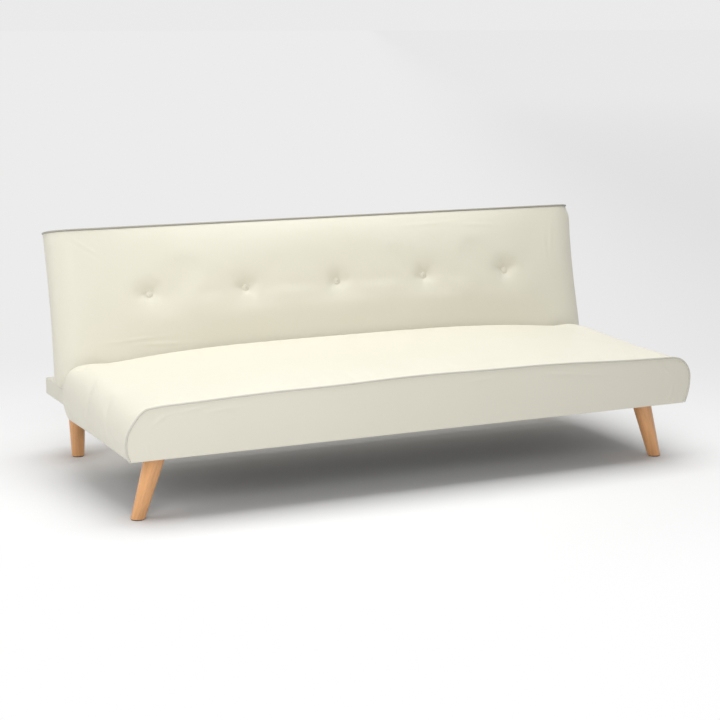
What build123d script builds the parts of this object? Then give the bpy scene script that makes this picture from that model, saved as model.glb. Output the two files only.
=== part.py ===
# Armless three-seat sofa bed whose backrest folds down flat behind the seat. Sizes are in millimetres.
# The sofa faces -Y, +X is on the right seen from the front, +Z is up, and it stands on z = 0.
# While the pieces are made, y = 0 is the front of the seat. Each piece is centred when it is saved.
import os
from math import asin, atan2, cos, degrees, pi, radians, sin

from build123d import *

# Fits between pieces
SEAT_FIT = 0.3
PAD_GAP = 0.5
SCREW_FIT = 0.02
RUN_FIT = 0.05

# Legs and their plates
GLIDE_T = 3.0
GLIDE_R = 17.0
GLIDE_PIN_R = 2.0
GLIDE_PIN_LENGTH = 12.0
LEG_LENGTH = 186.0
LEG_FOOT_R = 19.0
LEG_TOP_R = 29.0
FRONT_LEG_SPLAY = 59.0
LEG_PLATE = 66.0
LEG_PLATE_T = 3.0
LEG_BOSS_R = 7.0
LEG_BOSS_LENGTH = 14.0
HANGER_BOLT_R = 4.0
HANGER_BOLT_IN_LEG = 45.0
LEG_SETBACK_FRONT = 34.0
LEG_SETBACK_REAR = 53.0
LEG_SETBACK_SIDE = 35.0
PLATE_SCREW_INSET = 7.0
PLATE_SCREW_R = 2.0
PLATE_SCREW_LENGTH = 26.0
PLATE_SCREW_HEAD_R = 4.0
PLATE_SCREW_HEAD_T = 2.0

# Timber base
RAIL_WIDTH = 38.0
RAIL_HEIGHT = 48.0
SIDE_PADDING = 47.0
FRONT_PADDING = 27.0
CROSS_RAIL_T = 20.0
MIDDLE_RAIL_T = 30.0
STRETCHER_WIDTH = 38.0
TAIL_LENGTH = 341.0
LEG_BLOCK = 110.0
FRAME_SCREW_R = 2.5
FRAME_SCREW_LENGTH = 85.0
FRAME_SCREW_HEAD_R = 5.0
FRAME_SCREW_HEAD_T = 3.0
FRAME_SCREW_INSET = 12.0

# Seat deck and springs
DECK_T = 18.0
DECK_WIDTH = 70.0
DECK_SCREW_LENGTH = 45.0
DECK_SCREW_ROWS = 4
WIRE_R = 1.8
SPRING_WIDTH = 46.0
SPRING_BARS = 20
SPRING_COUNT = 9
SPRING_PITCH = 165.0
SPRING_END_INSET = 30.0
CLIP_LENGTH = 18.0
CLIP_DEPTH = 14.0
CLIP_WALL = 0.5
FELT_T = 2.5
DUST_COVER_T = 1.2

# Seat upholstery: an arch with bulging sides, round shoulders and a crowned top
COVER_T = 1.5
PIPING_R = 3.0
SKIRT_DROP = 13.0
SEAT_HALF_WIDTH = 897.0
SEAT_DEPTH = 574.0
SEAT_BULGE_HEIGHT = 78.0
SEAT_SHOULDER_R = 66.0
SEAT_SIDE_R = 190.0
SEAT_RISE_FRONT = 16.0
SEAT_RISE_MIDDLE = 43.0
SEAT_RISE_REAR = 41.0
SEAT_DRAW_IN = 4.0

# Backrest upholstery: the same arch, with its foot rounded about the hinge
BACK_SETBACK = 7.0
BACK_ROUND_R = 53.0
BACK_LENGTH = 424.0
BACK_TILT = 11.0
BACK_SHOULDER_R = 66.0
BACK_SIDE_R = 130.0
BACK_RISE_FOOT = 8.0
BACK_RISE_MIDDLE = 40.0
BACK_RISE_TOP = 5.0
BACK_DRAW_IN = 4.0
BACK_CROWN_START = 55.0
BACK_CROWN_HEIGHT = 226.0
BACK_SWING_GAP = 7.0
BACK_REST_GAP = 2.5

# Tufts and buttons
BUTTON_COUNT = 5
BUTTON_PITCH = 303.0
BUTTON_HEIGHT = 222.0
BUTTON_R = 11.0
BUTTON_RIM = 2.0
BUTTON_DOME = 4.0
TUFT_R = 42.0
TUFT_DEPTH = 15.0
CORD_R = 1.2
CORD_DISC_R = 8.0
CORD_DISC_T = 3.0

# Backrest frame
BACK_FRAME_T = 35.0
BACK_FRAME_FOOT = 50.0
BACK_FRAME_TOP_GAP = 15.0
BACK_RAIL_HEIGHT = 35.0
STILE_WIDTH = 37.5
MIDDLE_STILE_WIDTH = 40.0
BOARD_T = 3.0

# Hinges and locks
PLATE_T = 4.0
PIN_R = 6.0
PIN_HEAD_R = 10.0
PIN_HEAD_T = 4.0
WASHER_R = 12.0
WASHER_T = 0.4
PLATE_GAP = 0.5
EAR_R = 24.0
BRACKET_LENGTH = 100.0
BRACKET_EDGE = 5.0
NECK_FRONT = 34.0
NECK_REAR = 26.0
NECK_WAIST = 35.0
RATCHET_R = 34.0
ARM_WIDTH = 26.0
ARM_ROOT_ANGLE = 30.0
ARM_LENGTH = 200.0
ARM_SCREW_HEIGHTS = (110.0, 145.0, 180.0)
HINGE_SCREW_R = 3.0
HINGE_SCREW_LENGTH = 32.0
HINGE_SCREW_HEAD_R = 5.5
HINGE_SCREW_HEAD_T = 3.0
BRACKET_SCREW_HEIGHT = 15.0
BRACKET_SCREW_OFFSETS = (-44.0, -6.0, 34.0)
NOTCH_ROOM = 2.0
NOTCH_SIDE_ROOM = 4.0
LOCK_ANGLES = (11.0, 0.0, -35.0, -79.0)
PAWL_ANGLE = -80.0
PAWL_GAP = 0.6
PAWL_REACH = 32.0
PAWL_TOOTH_WIDTH = 4.0
PAWL_TOOTH_HEIGHT = 4.0
PAWL_BAR = 8.0
PAWL_HUB_R = 7.0
PAWL_STUD_R = 4.0
NOTCH_TOOTH_ROOM = 2.0
LEAF_T = 1.0
LEAF_CURL_R = 5.0
ANCHOR_R = 3.0
ANCHOR_AHEAD = 42.0
ANCHOR_DROP = 14.0

# Heights and places that follow from the sizes above
LEG_TOP_Z = GLIDE_T + LEG_LENGTH
RAIL_BOTTOM_Z = LEG_TOP_Z + LEG_PLATE_T
RAIL_TOP_Z = RAIL_BOTTOM_Z + RAIL_HEIGHT
DECK_TOP_Z = RAIL_TOP_Z + DECK_T
WIRE_Z = DECK_TOP_Z + CLIP_WALL + RUN_FIT + WIRE_R
CLIP_TOP_Z = WIRE_Z + WIRE_R + RUN_FIT + CLIP_WALL
FELT_Z = CLIP_TOP_Z + RUN_FIT
FOAM_Z = FELT_Z + FELT_T + SEAT_FIT
SEAT_BOTTOM_Z = RAIL_BOTTOM_Z - SKIRT_DROP
SEAT_BULGE_Z = SEAT_BOTTOM_Z + SEAT_BULGE_HEIGHT
PAD_INSET = COVER_T + PAD_GAP
WELT_ROOM = PIPING_R + SEAT_FIT

RAIL_OUTER_X = SEAT_HALF_WIDTH - SIDE_PADDING
RAIL_INNER_X = RAIL_OUTER_X - RAIL_WIDTH
FRAME_FRONT_Y = WELT_ROOM + FRONT_PADDING + PAD_GAP
FRAME_REAR_Y = SEAT_DEPTH - COVER_T - SEAT_FIT
FRONT_RAIL_BACK_Y = FRAME_FRONT_Y + CROSS_RAIL_T
MIDDLE_RAIL_FRONT_Y = FRAME_REAR_Y - MIDDLE_RAIL_T
TAIL_END_Y = SEAT_DEPTH + TAIL_LENGTH
REAR_RAIL_FRONT_Y = TAIL_END_Y - CROSS_RAIL_T
LEG_TOP_X = RAIL_INNER_X - LEG_SETBACK_SIDE
FRONT_LEG_Y = FRONT_RAIL_BACK_Y + LEG_SETBACK_FRONT
REAR_LEG_Y = REAR_RAIL_FRONT_Y - LEG_SETBACK_REAR

PIVOT_Y = SEAT_DEPTH + BACK_SWING_GAP + BACK_ROUND_R
BACK_HALF_WIDTH = SEAT_HALF_WIDTH - BACK_SETBACK
PIVOT_Z = RAIL_TOP_Z + COVER_T + BACK_REST_GAP + BACK_ROUND_R
BACK_BULGE = BACK_ROUND_R - BACK_RISE_FOOT - BACK_SHOULDER_R
BACK_FRAME_REAR = BACK_ROUND_R - COVER_T - SEAT_FIT
BACK_FRAME_FRONT = BACK_FRAME_REAR - BACK_FRAME_T
BOARD_FRONT = BACK_FRAME_FRONT - BOARD_T
BACK_FRAME_TOP = BACK_LENGTH - BACK_FRAME_TOP_GAP

BRACKET_X = RAIL_INNER_X - PLATE_T
ARM_OUTER_X = BRACKET_X - PLATE_GAP
ARM_INNER_X = ARM_OUTER_X - PLATE_T
STILE_OUTER_X = ARM_OUTER_X + STILE_WIDTH
NOTCH_X = (ARM_INNER_X - PIN_HEAD_T - NOTCH_SIDE_ROOM, RAIL_INNER_X + PIN_HEAD_T + NOTCH_SIDE_ROOM)
BUTTON_XS = [BUTTON_PITCH * (i - (BUTTON_COUNT - 1) / 2) for i in range(BUTTON_COUNT)]
MIDDLE_STILE_X = 1.5 * BUTTON_PITCH

CENTRE_Y = (TAIL_END_Y + COVER_T - PIPING_R) / 2
BACK_PLACE = Pos(0, PIVOT_Y, PIVOT_Z) * Rot(-BACK_TILT, 0, 0)
FAR = 4 * SEAT_HALF_WIDTH


def block(x, y, z):
    """A box between two limits on each axis."""
    centre = [(low + high) / 2 for low, high in (x, y, z)]
    return Pos(*centre) * Box(x[1] - x[0], y[1] - y[0], z[1] - z[0])


def rod(start, direction, radius, length):
    """A round rod that begins at start."""
    seat = Plane(origin=start, z_dir=direction)
    return seat * Cylinder(radius, length, align=(Align.CENTER, Align.CENTER, Align.MIN))


def screw(start, direction, radius, length, head_r, head_t, room=0.0):
    """A flat-headed screw with the top of its head at start, or its hole when room is given."""
    shank = rod(start, direction, radius + room, length + room)
    return shank + rod(start, direction, head_r + room, head_t + room)


def plate(outline, x_low, x_high):
    """A flat plate across x, from points given as y and z."""
    face = make_face(Polyline(*[(x_low, y, z) for y, z in outline], close=True))
    return extrude(face, x_high - x_low, dir=(1, 0, 0))


def disc(y, z, radius, x_low, x_high):
    """A round plate across x."""
    return rod((x_low, y, z), (1, 0, 0), radius, x_high - x_low)


def mirrored(shape):
    """The same piece on the left-hand side."""
    return mirror(shape, about=Plane.YZ)


def save(name, *shapes):
    """Write one node, with its solids moved to the centred frame."""
    solids = [Pos(0, -CENTRE_Y, 0) * s for shape in shapes for s in shape.solids()]
    shape = solids[0] if len(solids) == 1 else Compound(solids)
    export_step(shape, f"parts/{name}.step")


def save_pair(name, shape):
    """Write a right-hand piece and its mirror image as two nodes."""
    save(f"{name}_right", shape)
    save(f"{name}_left", mirrored(shape))


def arch(half_width, base, bulge, shoulder_r, rise, side_r, at):
    """The arched section of a cushion: its outline over the top, and the base line that closes it."""
    reach = half_width - shoulder_r
    crown_r = (reach**2 + rise**2 + 2 * shoulder_r * rise) / (2 * rise)
    lean = asin(reach / (crown_r - shoulder_r))
    halfway = (lean + pi / 2) / 2
    drop = asin((bulge - base) / side_r)
    side_x = half_width - side_r
    crown_end = (reach + shoulder_r * sin(lean), bulge + shoulder_r * cos(lean))
    shoulder = (reach + shoulder_r * sin(halfway), bulge + shoulder_r * cos(halfway))
    widest = (half_width, bulge)
    side = (side_x + side_r * cos(drop / 2), bulge - side_r * sin(drop / 2))
    foot = (side_x + side_r * cos(drop), base)
    ends = [foot, widest, crown_end]
    mids = [side, shoulder]
    right = [ThreePointArc(at(*ends[i]), at(*mids[i]), at(*ends[i + 1])) for i in range(2)]
    crown = ThreePointArc(at(*crown_end), at(0, bulge + shoulder_r + rise), at(-crown_end[0], crown_end[1]))
    left = [
        ThreePointArc(at(-ends[i + 1][0], ends[i + 1][1]), at(-mids[i][0], mids[i][1]), at(-ends[i][0], ends[i][1]))
        for i in (1, 0)
    ]
    return right + [crown] + left, Line(at(-foot[0], base), at(*foot))


def seat_arch(y, half_width, rise, inset, base):
    """The seat's arch at one depth, drawn in all over by inset."""
    return arch(
        half_width - inset, base, SEAT_BULGE_Z, SEAT_SHOULDER_R - inset, rise, SEAT_SIDE_R - inset,
        lambda x, h: (x, y, h),
    )


def seat_form(inset, base):
    """The whole seat cushion's form, drawn in by inset."""
    stations = (
        (0.0, SEAT_HALF_WIDTH, SEAT_RISE_FRONT),
        (SEAT_DEPTH / 2, SEAT_HALF_WIDTH - SEAT_DRAW_IN, SEAT_RISE_MIDDLE),
        (SEAT_DEPTH, SEAT_HALF_WIDTH, SEAT_RISE_REAR),
    )
    faces = []
    for y, half_width, rise in stations:
        over, floor = seat_arch(y, half_width, rise, inset, base)
        faces.append(Face(Wire(over + [floor])))
    return loft(faces)


def back_arch(height, half_width, rise, inset, base):
    """The backrest's arch at one height above the hinge, with its crown to the front."""
    return arch(
        half_width - inset, base, BACK_BULGE, BACK_SHOULDER_R - inset, rise, BACK_SIDE_R - inset,
        lambda x, h: (x, -h, height),
    )


def back_form(inset, base):
    """The whole backrest's form in its own upright frame, with the hinge axis along x at the origin."""
    stations = (
        (-BACK_ROUND_R - PIPING_R, BACK_HALF_WIDTH, BACK_RISE_FOOT),
        (BACK_CROWN_START, BACK_HALF_WIDTH, BACK_RISE_FOOT),
        (BACK_CROWN_HEIGHT, BACK_HALF_WIDTH - BACK_DRAW_IN, BACK_RISE_MIDDLE),
        (BACK_LENGTH, BACK_HALF_WIDTH, BACK_RISE_TOP),
    )
    faces = []
    for height, half_width, rise in stations:
        over, floor = back_arch(height, half_width, rise, inset, base)
        faces.append(Face(Wire(over + [floor])))
    above = block((-FAR, FAR), (-FAR, FAR), (0, BACK_LENGTH))
    foot = disc(0, 0, BACK_ROUND_R - inset, -FAR, FAR)
    return loft(faces) & (above + foot)


def crown_front(x):
    """How far the backrest's front stands before the hinge axis at the buttons' height."""
    reach = BACK_HALF_WIDTH - BACK_DRAW_IN - BACK_SHOULDER_R
    rise = BACK_RISE_MIDDLE
    crown_r = (reach**2 + rise**2 + 2 * BACK_SHOULDER_R * rise) / (2 * rise)
    return BACK_BULGE + BACK_SHOULDER_R + rise - x**2 / (2 * crown_r)


def tufts(inset):
    """The round hollows that the buttons pull in, and the cords' holes behind them."""
    ball_r = (TUFT_R**2 + TUFT_DEPTH**2) / (2 * TUFT_DEPTH) + inset
    cuts = []
    for x in BUTTON_XS:
        front_y = -crown_front(x)
        centre_y = front_y + TUFT_DEPTH - (ball_r - inset)
        cuts.append(Pos(x, centre_y, BUTTON_HEIGHT) * Sphere(ball_r))
        cuts.append(rod((x, front_y, BUTTON_HEIGHT), (0, 1, 0), CORD_R + PAD_GAP, BACK_ROUND_R - front_y))
    return cuts


def welt(path):
    """A round cord along a path of arcs."""
    wire = Wire(path)
    start = Plane(origin=wire @ 0, z_dir=wire % 0)
    return sweep(start * Circle(PIPING_R), wire)


def leg(top_x, top_y, splay):
    """A turned leg, cut level at the floor and under its plate, with holes for its bolt and glide."""
    height = LEG_TOP_Z
    lean = atan2(splay, height)
    run = (height**2 + splay**2) ** 0.5
    taper = (LEG_TOP_R - LEG_FOOT_R) / run
    spare = 2 * LEG_TOP_R
    turned = Cone(LEG_FOOT_R - taper * spare, LEG_TOP_R + taper * spare, run + 2 * spare)
    axis = Pos(top_x + splay / 2, top_y, height / 2) * Rot(0, -degrees(lean), 0)
    cut = block((-FAR, FAR), (-FAR, FAR), (GLIDE_T, LEG_TOP_Z))
    bolt = rod((top_x, top_y, LEG_TOP_Z - HANGER_BOLT_IN_LEG), (0, 0, 1), HANGER_BOLT_R + SCREW_FIT, height)
    pin = rod((top_x + splay, top_y, 0), (0, 0, 1), GLIDE_PIN_R + SCREW_FIT, GLIDE_T + GLIDE_PIN_LENGTH)
    return (axis * turned & cut) - bolt - pin


def plate_screws(x, y, room=0.0):
    """The four screws that hold one leg plate."""
    arm = LEG_PLATE / 2 - PLATE_SCREW_INSET
    z = RAIL_BOTTOM_Z - LEG_PLATE_T - PLATE_SCREW_HEAD_T
    spots = [(x + i * arm, y + j * arm, z) for i in (-1, 1) for j in (-1, 1)]
    sizes = (PLATE_SCREW_R, PLATE_SCREW_LENGTH, PLATE_SCREW_HEAD_R, PLATE_SCREW_HEAD_T)
    return [screw(spot, (0, 0, 1), *sizes, room) for spot in spots]


def make_legs():
    """Legs with their glides, bolts, plates, plate screws and the timber blocks above them."""
    glides, bolts, plates, screws, blocks = [], [], [], [], []
    places = (
        ("front", FRONT_LEG_Y, FRONT_LEG_SPLAY, FRONT_RAIL_BACK_Y),
        ("rear", REAR_LEG_Y, 0.0, REAR_RAIL_FRONT_Y - LEG_BLOCK),
    )
    for name, y, splay, block_y in places:
        save_pair(f"leg_{name}", leg(LEG_TOP_X, y, splay))
        glide = rod((LEG_TOP_X + splay, y, 0), (0, 0, 1), GLIDE_R, GLIDE_T)
        glide += rod((LEG_TOP_X + splay, y, 0), (0, 0, 1), GLIDE_PIN_R, GLIDE_T + GLIDE_PIN_LENGTH)
        bolt_length = HANGER_BOLT_IN_LEG + LEG_PLATE_T + LEG_BOSS_LENGTH
        bolt_foot = (LEG_TOP_X, y, LEG_TOP_Z - HANGER_BOLT_IN_LEG)
        base = (LEG_TOP_X, y, LEG_TOP_Z)
        bolt = rod(bolt_foot, (0, 0, 1), HANGER_BOLT_R, bolt_length)
        bolt_hole = rod(bolt_foot, (0, 0, 1), HANGER_BOLT_R + SCREW_FIT, bolt_length)
        half = LEG_PLATE / 2
        spans = (LEG_TOP_X - half, LEG_TOP_X + half), (y - half, y + half)
        steel = block(*spans, (LEG_TOP_Z, RAIL_BOTTOM_Z))
        steel += rod(base, (0, 0, 1), LEG_BOSS_R, LEG_PLATE_T + LEG_BOSS_LENGTH)
        steel -= bolt_hole
        timber = block(
            (RAIL_INNER_X - LEG_BLOCK, RAIL_INNER_X), (block_y, block_y + LEG_BLOCK), (RAIL_BOTTOM_Z, RAIL_TOP_Z)
        )
        timber -= rod(base, (0, 0, 1), LEG_BOSS_R + SCREW_FIT, LEG_PLATE_T + LEG_BOSS_LENGTH + SEAT_FIT)
        wood_leg_top = block(*spans, (LEG_TOP_Z - PLATE_SCREW_HEAD_T, LEG_TOP_Z))
        for one, hole in zip(plate_screws(LEG_TOP_X, y), plate_screws(LEG_TOP_X, y, SCREW_FIT)):
            steel -= hole
            timber -= hole
            screws += [one - wood_leg_top, mirrored(one - wood_leg_top)]
        glides += [glide, mirrored(glide)]
        bolts += [bolt, mirrored(bolt)]
        plates += [steel, mirrored(steel)]
        blocks += [timber, mirrored(timber)]
    save("foot_glides", *glides)
    save("hanger_bolts", *bolts)
    save("leg_plates", *plates)
    save("leg_plate_screws", *screws)
    save("leg_blocks", *blocks)


def frame_screws(room=0.0):
    """Long screws through the right-hand side rail into the ends of the cross rails."""
    rows = (
        (FRAME_FRONT_Y + FRONT_RAIL_BACK_Y) / 2,
        (MIDDLE_RAIL_FRONT_Y + FRAME_REAR_Y) / 2,
        (REAR_RAIL_FRONT_Y + TAIL_END_Y) / 2,
    )
    heights = (RAIL_BOTTOM_Z + FRAME_SCREW_INSET, RAIL_TOP_Z - FRAME_SCREW_INSET)
    sizes = (FRAME_SCREW_R, FRAME_SCREW_LENGTH, FRAME_SCREW_HEAD_R, FRAME_SCREW_HEAD_T)
    return [screw((RAIL_OUTER_X, y, z), (-1, 0, 0), *sizes, room) for y in rows for z in heights]


def deck_screws(room=0.0):
    """Screws that hold the deck's side strips down on the right-hand side rail."""
    x = (RAIL_INNER_X + RAIL_OUTER_X) / 2
    first, last = FRAME_FRONT_Y + DECK_WIDTH / 2, FRAME_REAR_Y - DECK_WIDTH / 2
    step = (last - first) / (DECK_SCREW_ROWS - 1)
    sizes = (FRAME_SCREW_R, DECK_SCREW_LENGTH, FRAME_SCREW_HEAD_R, FRAME_SCREW_HEAD_T)
    spots = [(x, first + i * step, DECK_TOP_Z) for i in range(DECK_SCREW_ROWS)]
    return [screw(spot, (0, 0, -1), *sizes, room) for spot in spots]


def make_base_frame():
    """Side rails that run out behind the seat, the rails across them and the deck on top."""
    heights = (RAIL_BOTTOM_Z, RAIL_TOP_Z)
    deck_heights = (RAIL_TOP_Z, DECK_TOP_Z)
    across = (-RAIL_INNER_X, RAIL_INNER_X)
    side_holes = frame_screws(SCREW_FIT)
    deck_holes = deck_screws(SCREW_FIT)
    holes = side_holes + [mirrored(h) for h in side_holes]
    all_deck_holes = deck_holes + [mirrored(h) for h in deck_holes]
    side = block((RAIL_INNER_X, RAIL_OUTER_X), (FRAME_FRONT_Y, TAIL_END_Y), heights)
    side -= side_holes + deck_holes + bracket_screws(SCREW_FIT)
    save_pair("side_rail", side)
    save("front_rail", block(across, (FRAME_FRONT_Y, FRONT_RAIL_BACK_Y), heights) - holes)
    save("middle_rail", block(across, (MIDDLE_RAIL_FRONT_Y, FRAME_REAR_Y), heights) - holes)
    save("rear_rail", block(across, (REAR_RAIL_FRONT_Y, TAIL_END_Y), heights) - holes)
    half = STRETCHER_WIDTH / 2
    save("centre_stretcher", block((-half, half), (FRONT_RAIL_BACK_Y, MIDDLE_RAIL_FRONT_Y), heights))
    screws = frame_screws()
    save("frame_screws", *screws, *[mirrored(s) for s in screws])

    deck_across = (-RAIL_OUTER_X, RAIL_OUTER_X)
    deck_front = FRAME_FRONT_Y + DECK_WIDTH
    deck_rear = FRAME_REAR_Y - DECK_WIDTH
    save("deck_front_strip", block(deck_across, (FRAME_FRONT_Y, deck_front), deck_heights) - all_deck_holes)
    save("deck_rear_strip", block(deck_across, (deck_rear, FRAME_REAR_Y), deck_heights) - all_deck_holes)
    strip = block((RAIL_OUTER_X - DECK_WIDTH, RAIL_OUTER_X), (deck_front, deck_rear), deck_heights)
    strip -= deck_holes
    save("deck_side_strips", strip, mirrored(strip))
    screws = deck_screws()
    save("deck_screws", *screws, *[mirrored(s) for s in screws])


def make_springs():
    """Zigzag wire springs from front to rear, each held by a clip at both ends."""
    first, last = FRAME_FRONT_Y + SPRING_END_INSET, FRAME_REAR_Y - SPRING_END_INSET
    pitch = (last - first) / (SPRING_BARS - 1)
    turn_r = pitch / 2
    reach = SPRING_WIDTH / 2 - turn_r
    path = []
    for i in range(SPRING_BARS):
        y = first + i * pitch
        way = 1 if i % 2 == 0 else -1
        path.append(Line((-way * reach, y, WIRE_Z), (way * reach, y, WIRE_Z)))
        if i < SPRING_BARS - 1:
            far = (way * (reach + turn_r), y + turn_r, WIRE_Z)
            path.append(ThreePointArc((way * reach, y, WIRE_Z), far, (way * reach, y + pitch, WIRE_Z)))
    wire = Wire(path)
    zigzag = sweep(Plane(origin=wire @ 0, z_dir=wire % 0) * Circle(WIRE_R), wire)
    half = CLIP_LENGTH / 2
    springs, clips = [], []
    for i in range(SPRING_COUNT):
        x = SPRING_PITCH * (i - (SPRING_COUNT - 1) / 2)
        springs.append(Pos(x, 0, 0) * zigzag)
        for y in (first, last):
            clip = block((x - half, x + half), (y - CLIP_DEPTH / 2, y + CLIP_DEPTH / 2), (DECK_TOP_Z, CLIP_TOP_Z))
            clips.append(clip - rod((x - half, y, WIRE_Z), (1, 0, 0), WIRE_R + RUN_FIT, CLIP_LENGTH))
    save("seat_springs", *springs)
    save("spring_clips", *clips)
    edge = RAIL_OUTER_X - SEAT_FIT
    save("felt_pad", block((-edge, edge), (FRAME_FRONT_Y, FRAME_REAR_Y), (FELT_Z, FELT_Z + FELT_T)))


def make_seat_upholstery():
    """Foam, cover, front panel and piping of the seat, and the cloth under it."""
    path, _ = seat_arch(0.0, SEAT_HALF_WIDTH, SEAT_RISE_FRONT, 0.0, SEAT_BOTTOM_Z)
    piping = welt(path)
    save("seat_piping", piping)

    wide = (-FAR, FAR)
    lining = seat_form(COVER_T, SEAT_BOTTOM_Z - COVER_T) & block(wide, (-FAR, SEAT_DEPTH - COVER_T), wide)
    cover = seat_form(0.0, SEAT_BOTTOM_Z) & block(wide, (WELT_ROOM, FAR), wide)
    cover -= lining
    for side in (-1, 1):
        edges = sorted((side * (RAIL_INNER_X - SEAT_FIT), side * (RAIL_OUTER_X + SEAT_FIT)))
        cover -= block(edges, (FRAME_REAR_Y, SEAT_DEPTH), (0, RAIL_TOP_Z + COVER_T))
    save("seat_cover", cover)
    over, floor = seat_arch(0.0, SEAT_HALF_WIDTH, SEAT_RISE_FRONT, WELT_ROOM, SEAT_BOTTOM_Z)
    save("seat_front_panel", extrude(Face(Wire(over + [floor])), COVER_T, dir=(0, 1, 0)))

    padding = seat_form(PAD_INSET, SEAT_BOTTOM_Z)
    rear_y = SEAT_DEPTH - PAD_INSET
    save("seat_foam", padding & block(wide, (WELT_ROOM, rear_y), (FOAM_Z, FAR)))
    skirt_z = (SEAT_BOTTOM_Z, FOAM_Z - PAD_GAP)
    front = padding & block(wide, (WELT_ROOM, FRAME_FRONT_Y - PAD_GAP), skirt_z)
    side = padding & block((RAIL_OUTER_X + PAD_GAP, FAR), (FRAME_FRONT_Y, rear_y), skirt_z)
    save("seat_skirt_foam", front, side, mirrored(side))

    edge = RAIL_OUTER_X - COVER_T
    cloth = block((-edge, edge), (FRAME_FRONT_Y, FRAME_REAR_Y), (RAIL_BOTTOM_Z - DUST_COVER_T, RAIL_BOTTOM_Z))
    half = LEG_PLATE / 2 + SEAT_FIT
    for side in (-1, 1):
        x = side * LEG_TOP_X
        cloth -= block((x - half, x + half), (FRAME_FRONT_Y, FRONT_LEG_Y + half), (0, RAIL_TOP_Z))
    save("dust_cover", cloth)


def make_tail_covers():
    """Upholstery on the rails that stick out behind the seat."""
    top = (RAIL_TOP_Z, RAIL_TOP_Z + COVER_T)
    wall = (RAIL_BOTTOM_Z, RAIL_TOP_Z + COVER_T)
    begin = SEAT_DEPTH + SEAT_FIT
    end = TAIL_END_Y + COVER_T
    block_y = REAR_RAIL_FRONT_Y - LEG_BLOCK
    bracket_end = PIVOT_Y + BRACKET_LENGTH / 2 + EAR_R
    inner = (RAIL_INNER_X - COVER_T, RAIL_INNER_X)
    block_x = RAIL_INNER_X - LEG_BLOCK
    sleeve = block((RAIL_OUTER_X, RAIL_OUTER_X + COVER_T), (begin, end), wall)
    sleeve += block((RAIL_INNER_X, RAIL_OUTER_X + COVER_T), (begin, end), top)
    sleeve += block(inner, (bracket_end, block_y), wall)
    sleeve += block((block_x, RAIL_OUTER_X), (block_y, end), top)
    sleeve += block((block_x, RAIL_OUTER_X + COVER_T), (TAIL_END_Y, end), wall)
    save_pair("tail_cover", sleeve)
    across = (-block_x + SEAT_FIT, block_x - SEAT_FIT)
    band = block(across, (TAIL_END_Y, end), wall)
    band += block(across, (REAR_RAIL_FRONT_Y, end), top)
    band += block(across, (REAR_RAIL_FRONT_Y - COVER_T, REAR_RAIL_FRONT_Y), wall)
    save("rear_rail_cover", band)


def hinge_notches():
    """The space round each hinge that the backrest's padding leaves free, open to the foot and the rear."""
    front = -(RATCHET_R + NOTCH_ROOM)
    notch = block(NOTCH_X, (front, 2 * BACK_ROUND_R), (-2 * BACK_ROUND_R, BACK_FRAME_FOOT - PAD_GAP))
    return [notch, mirrored(notch)]


def back_frame_screws(room=0.0):
    """Long screws through the right-hand stile into the ends of the backrest's rails."""
    y = (BACK_FRAME_FRONT + BACK_FRAME_REAR) / 2
    spread = BACK_RAIL_HEIGHT / 4
    rows = (BACK_FRAME_FOOT + BACK_RAIL_HEIGHT / 2, BACK_FRAME_TOP - BACK_RAIL_HEIGHT / 2)
    sizes = (FRAME_SCREW_R, FRAME_SCREW_LENGTH, FRAME_SCREW_HEAD_R, FRAME_SCREW_HEAD_T)
    spots = [(STILE_OUTER_X, y, row + side * spread) for row in rows for side in (-1, 1)]
    return [screw(spot, (-1, 0, 0), *sizes, room) for spot in spots]


def arm_screws(room=0.0):
    """Screws that hold the right-hand hinge arm against its stile."""
    y = (BACK_FRAME_FRONT + BACK_FRAME_REAR) / 2
    sizes = (HINGE_SCREW_R, HINGE_SCREW_LENGTH, HINGE_SCREW_HEAD_R, HINGE_SCREW_HEAD_T)
    head_x = ARM_INNER_X - HINGE_SCREW_HEAD_T
    return [screw((head_x, y, z), (1, 0, 0), *sizes, room) for z in ARM_SCREW_HEIGHTS]


def make_back_frame():
    """The backrest's timber frame and the hardboard panel on its front."""
    deep = (BACK_FRAME_FRONT, BACK_FRAME_REAR)
    tall = (BACK_FRAME_FOOT, BACK_FRAME_TOP)
    foot = (BACK_FRAME_FOOT, BACK_FRAME_FOOT + BACK_RAIL_HEIGHT)
    head = (BACK_FRAME_TOP - BACK_RAIL_HEIGHT, BACK_FRAME_TOP)
    holes = back_frame_screws(SCREW_FIT)
    both = holes + [mirrored(h) for h in holes]
    bottom_rail = block((-ARM_INNER_X, ARM_INNER_X), deep, foot) - both
    top_rail = block((-ARM_OUTER_X, ARM_OUTER_X), deep, head) - both
    stile = block((ARM_OUTER_X, STILE_OUTER_X), deep, tall) - holes - arm_screws(SCREW_FIT)
    half = MIDDLE_STILE_WIDTH / 2
    middle = block((MIDDLE_STILE_X - half, MIDDLE_STILE_X + half), deep, (foot[1], head[0]))
    board = block((-STILE_OUTER_X, STILE_OUTER_X), (BOARD_FRONT, BACK_FRAME_FRONT), tall)
    for x in BUTTON_XS:
        board -= rod((x, BOARD_FRONT, BUTTON_HEIGHT), (0, 1, 0), CORD_R + RUN_FIT, BOARD_T)
    screws = back_frame_screws()
    save("back_bottom_rail", BACK_PLACE * bottom_rail)
    save("back_top_rail", BACK_PLACE * top_rail)
    save("back_stiles", *[BACK_PLACE * s for s in (stile, mirrored(stile))])
    save("back_middle_stiles", *[BACK_PLACE * s for s in (middle, mirrored(middle))])
    save("back_board", BACK_PLACE * board)
    save("back_frame_screws", *[BACK_PLACE * s for s in screws + [mirrored(s) for s in screws]])


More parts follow.
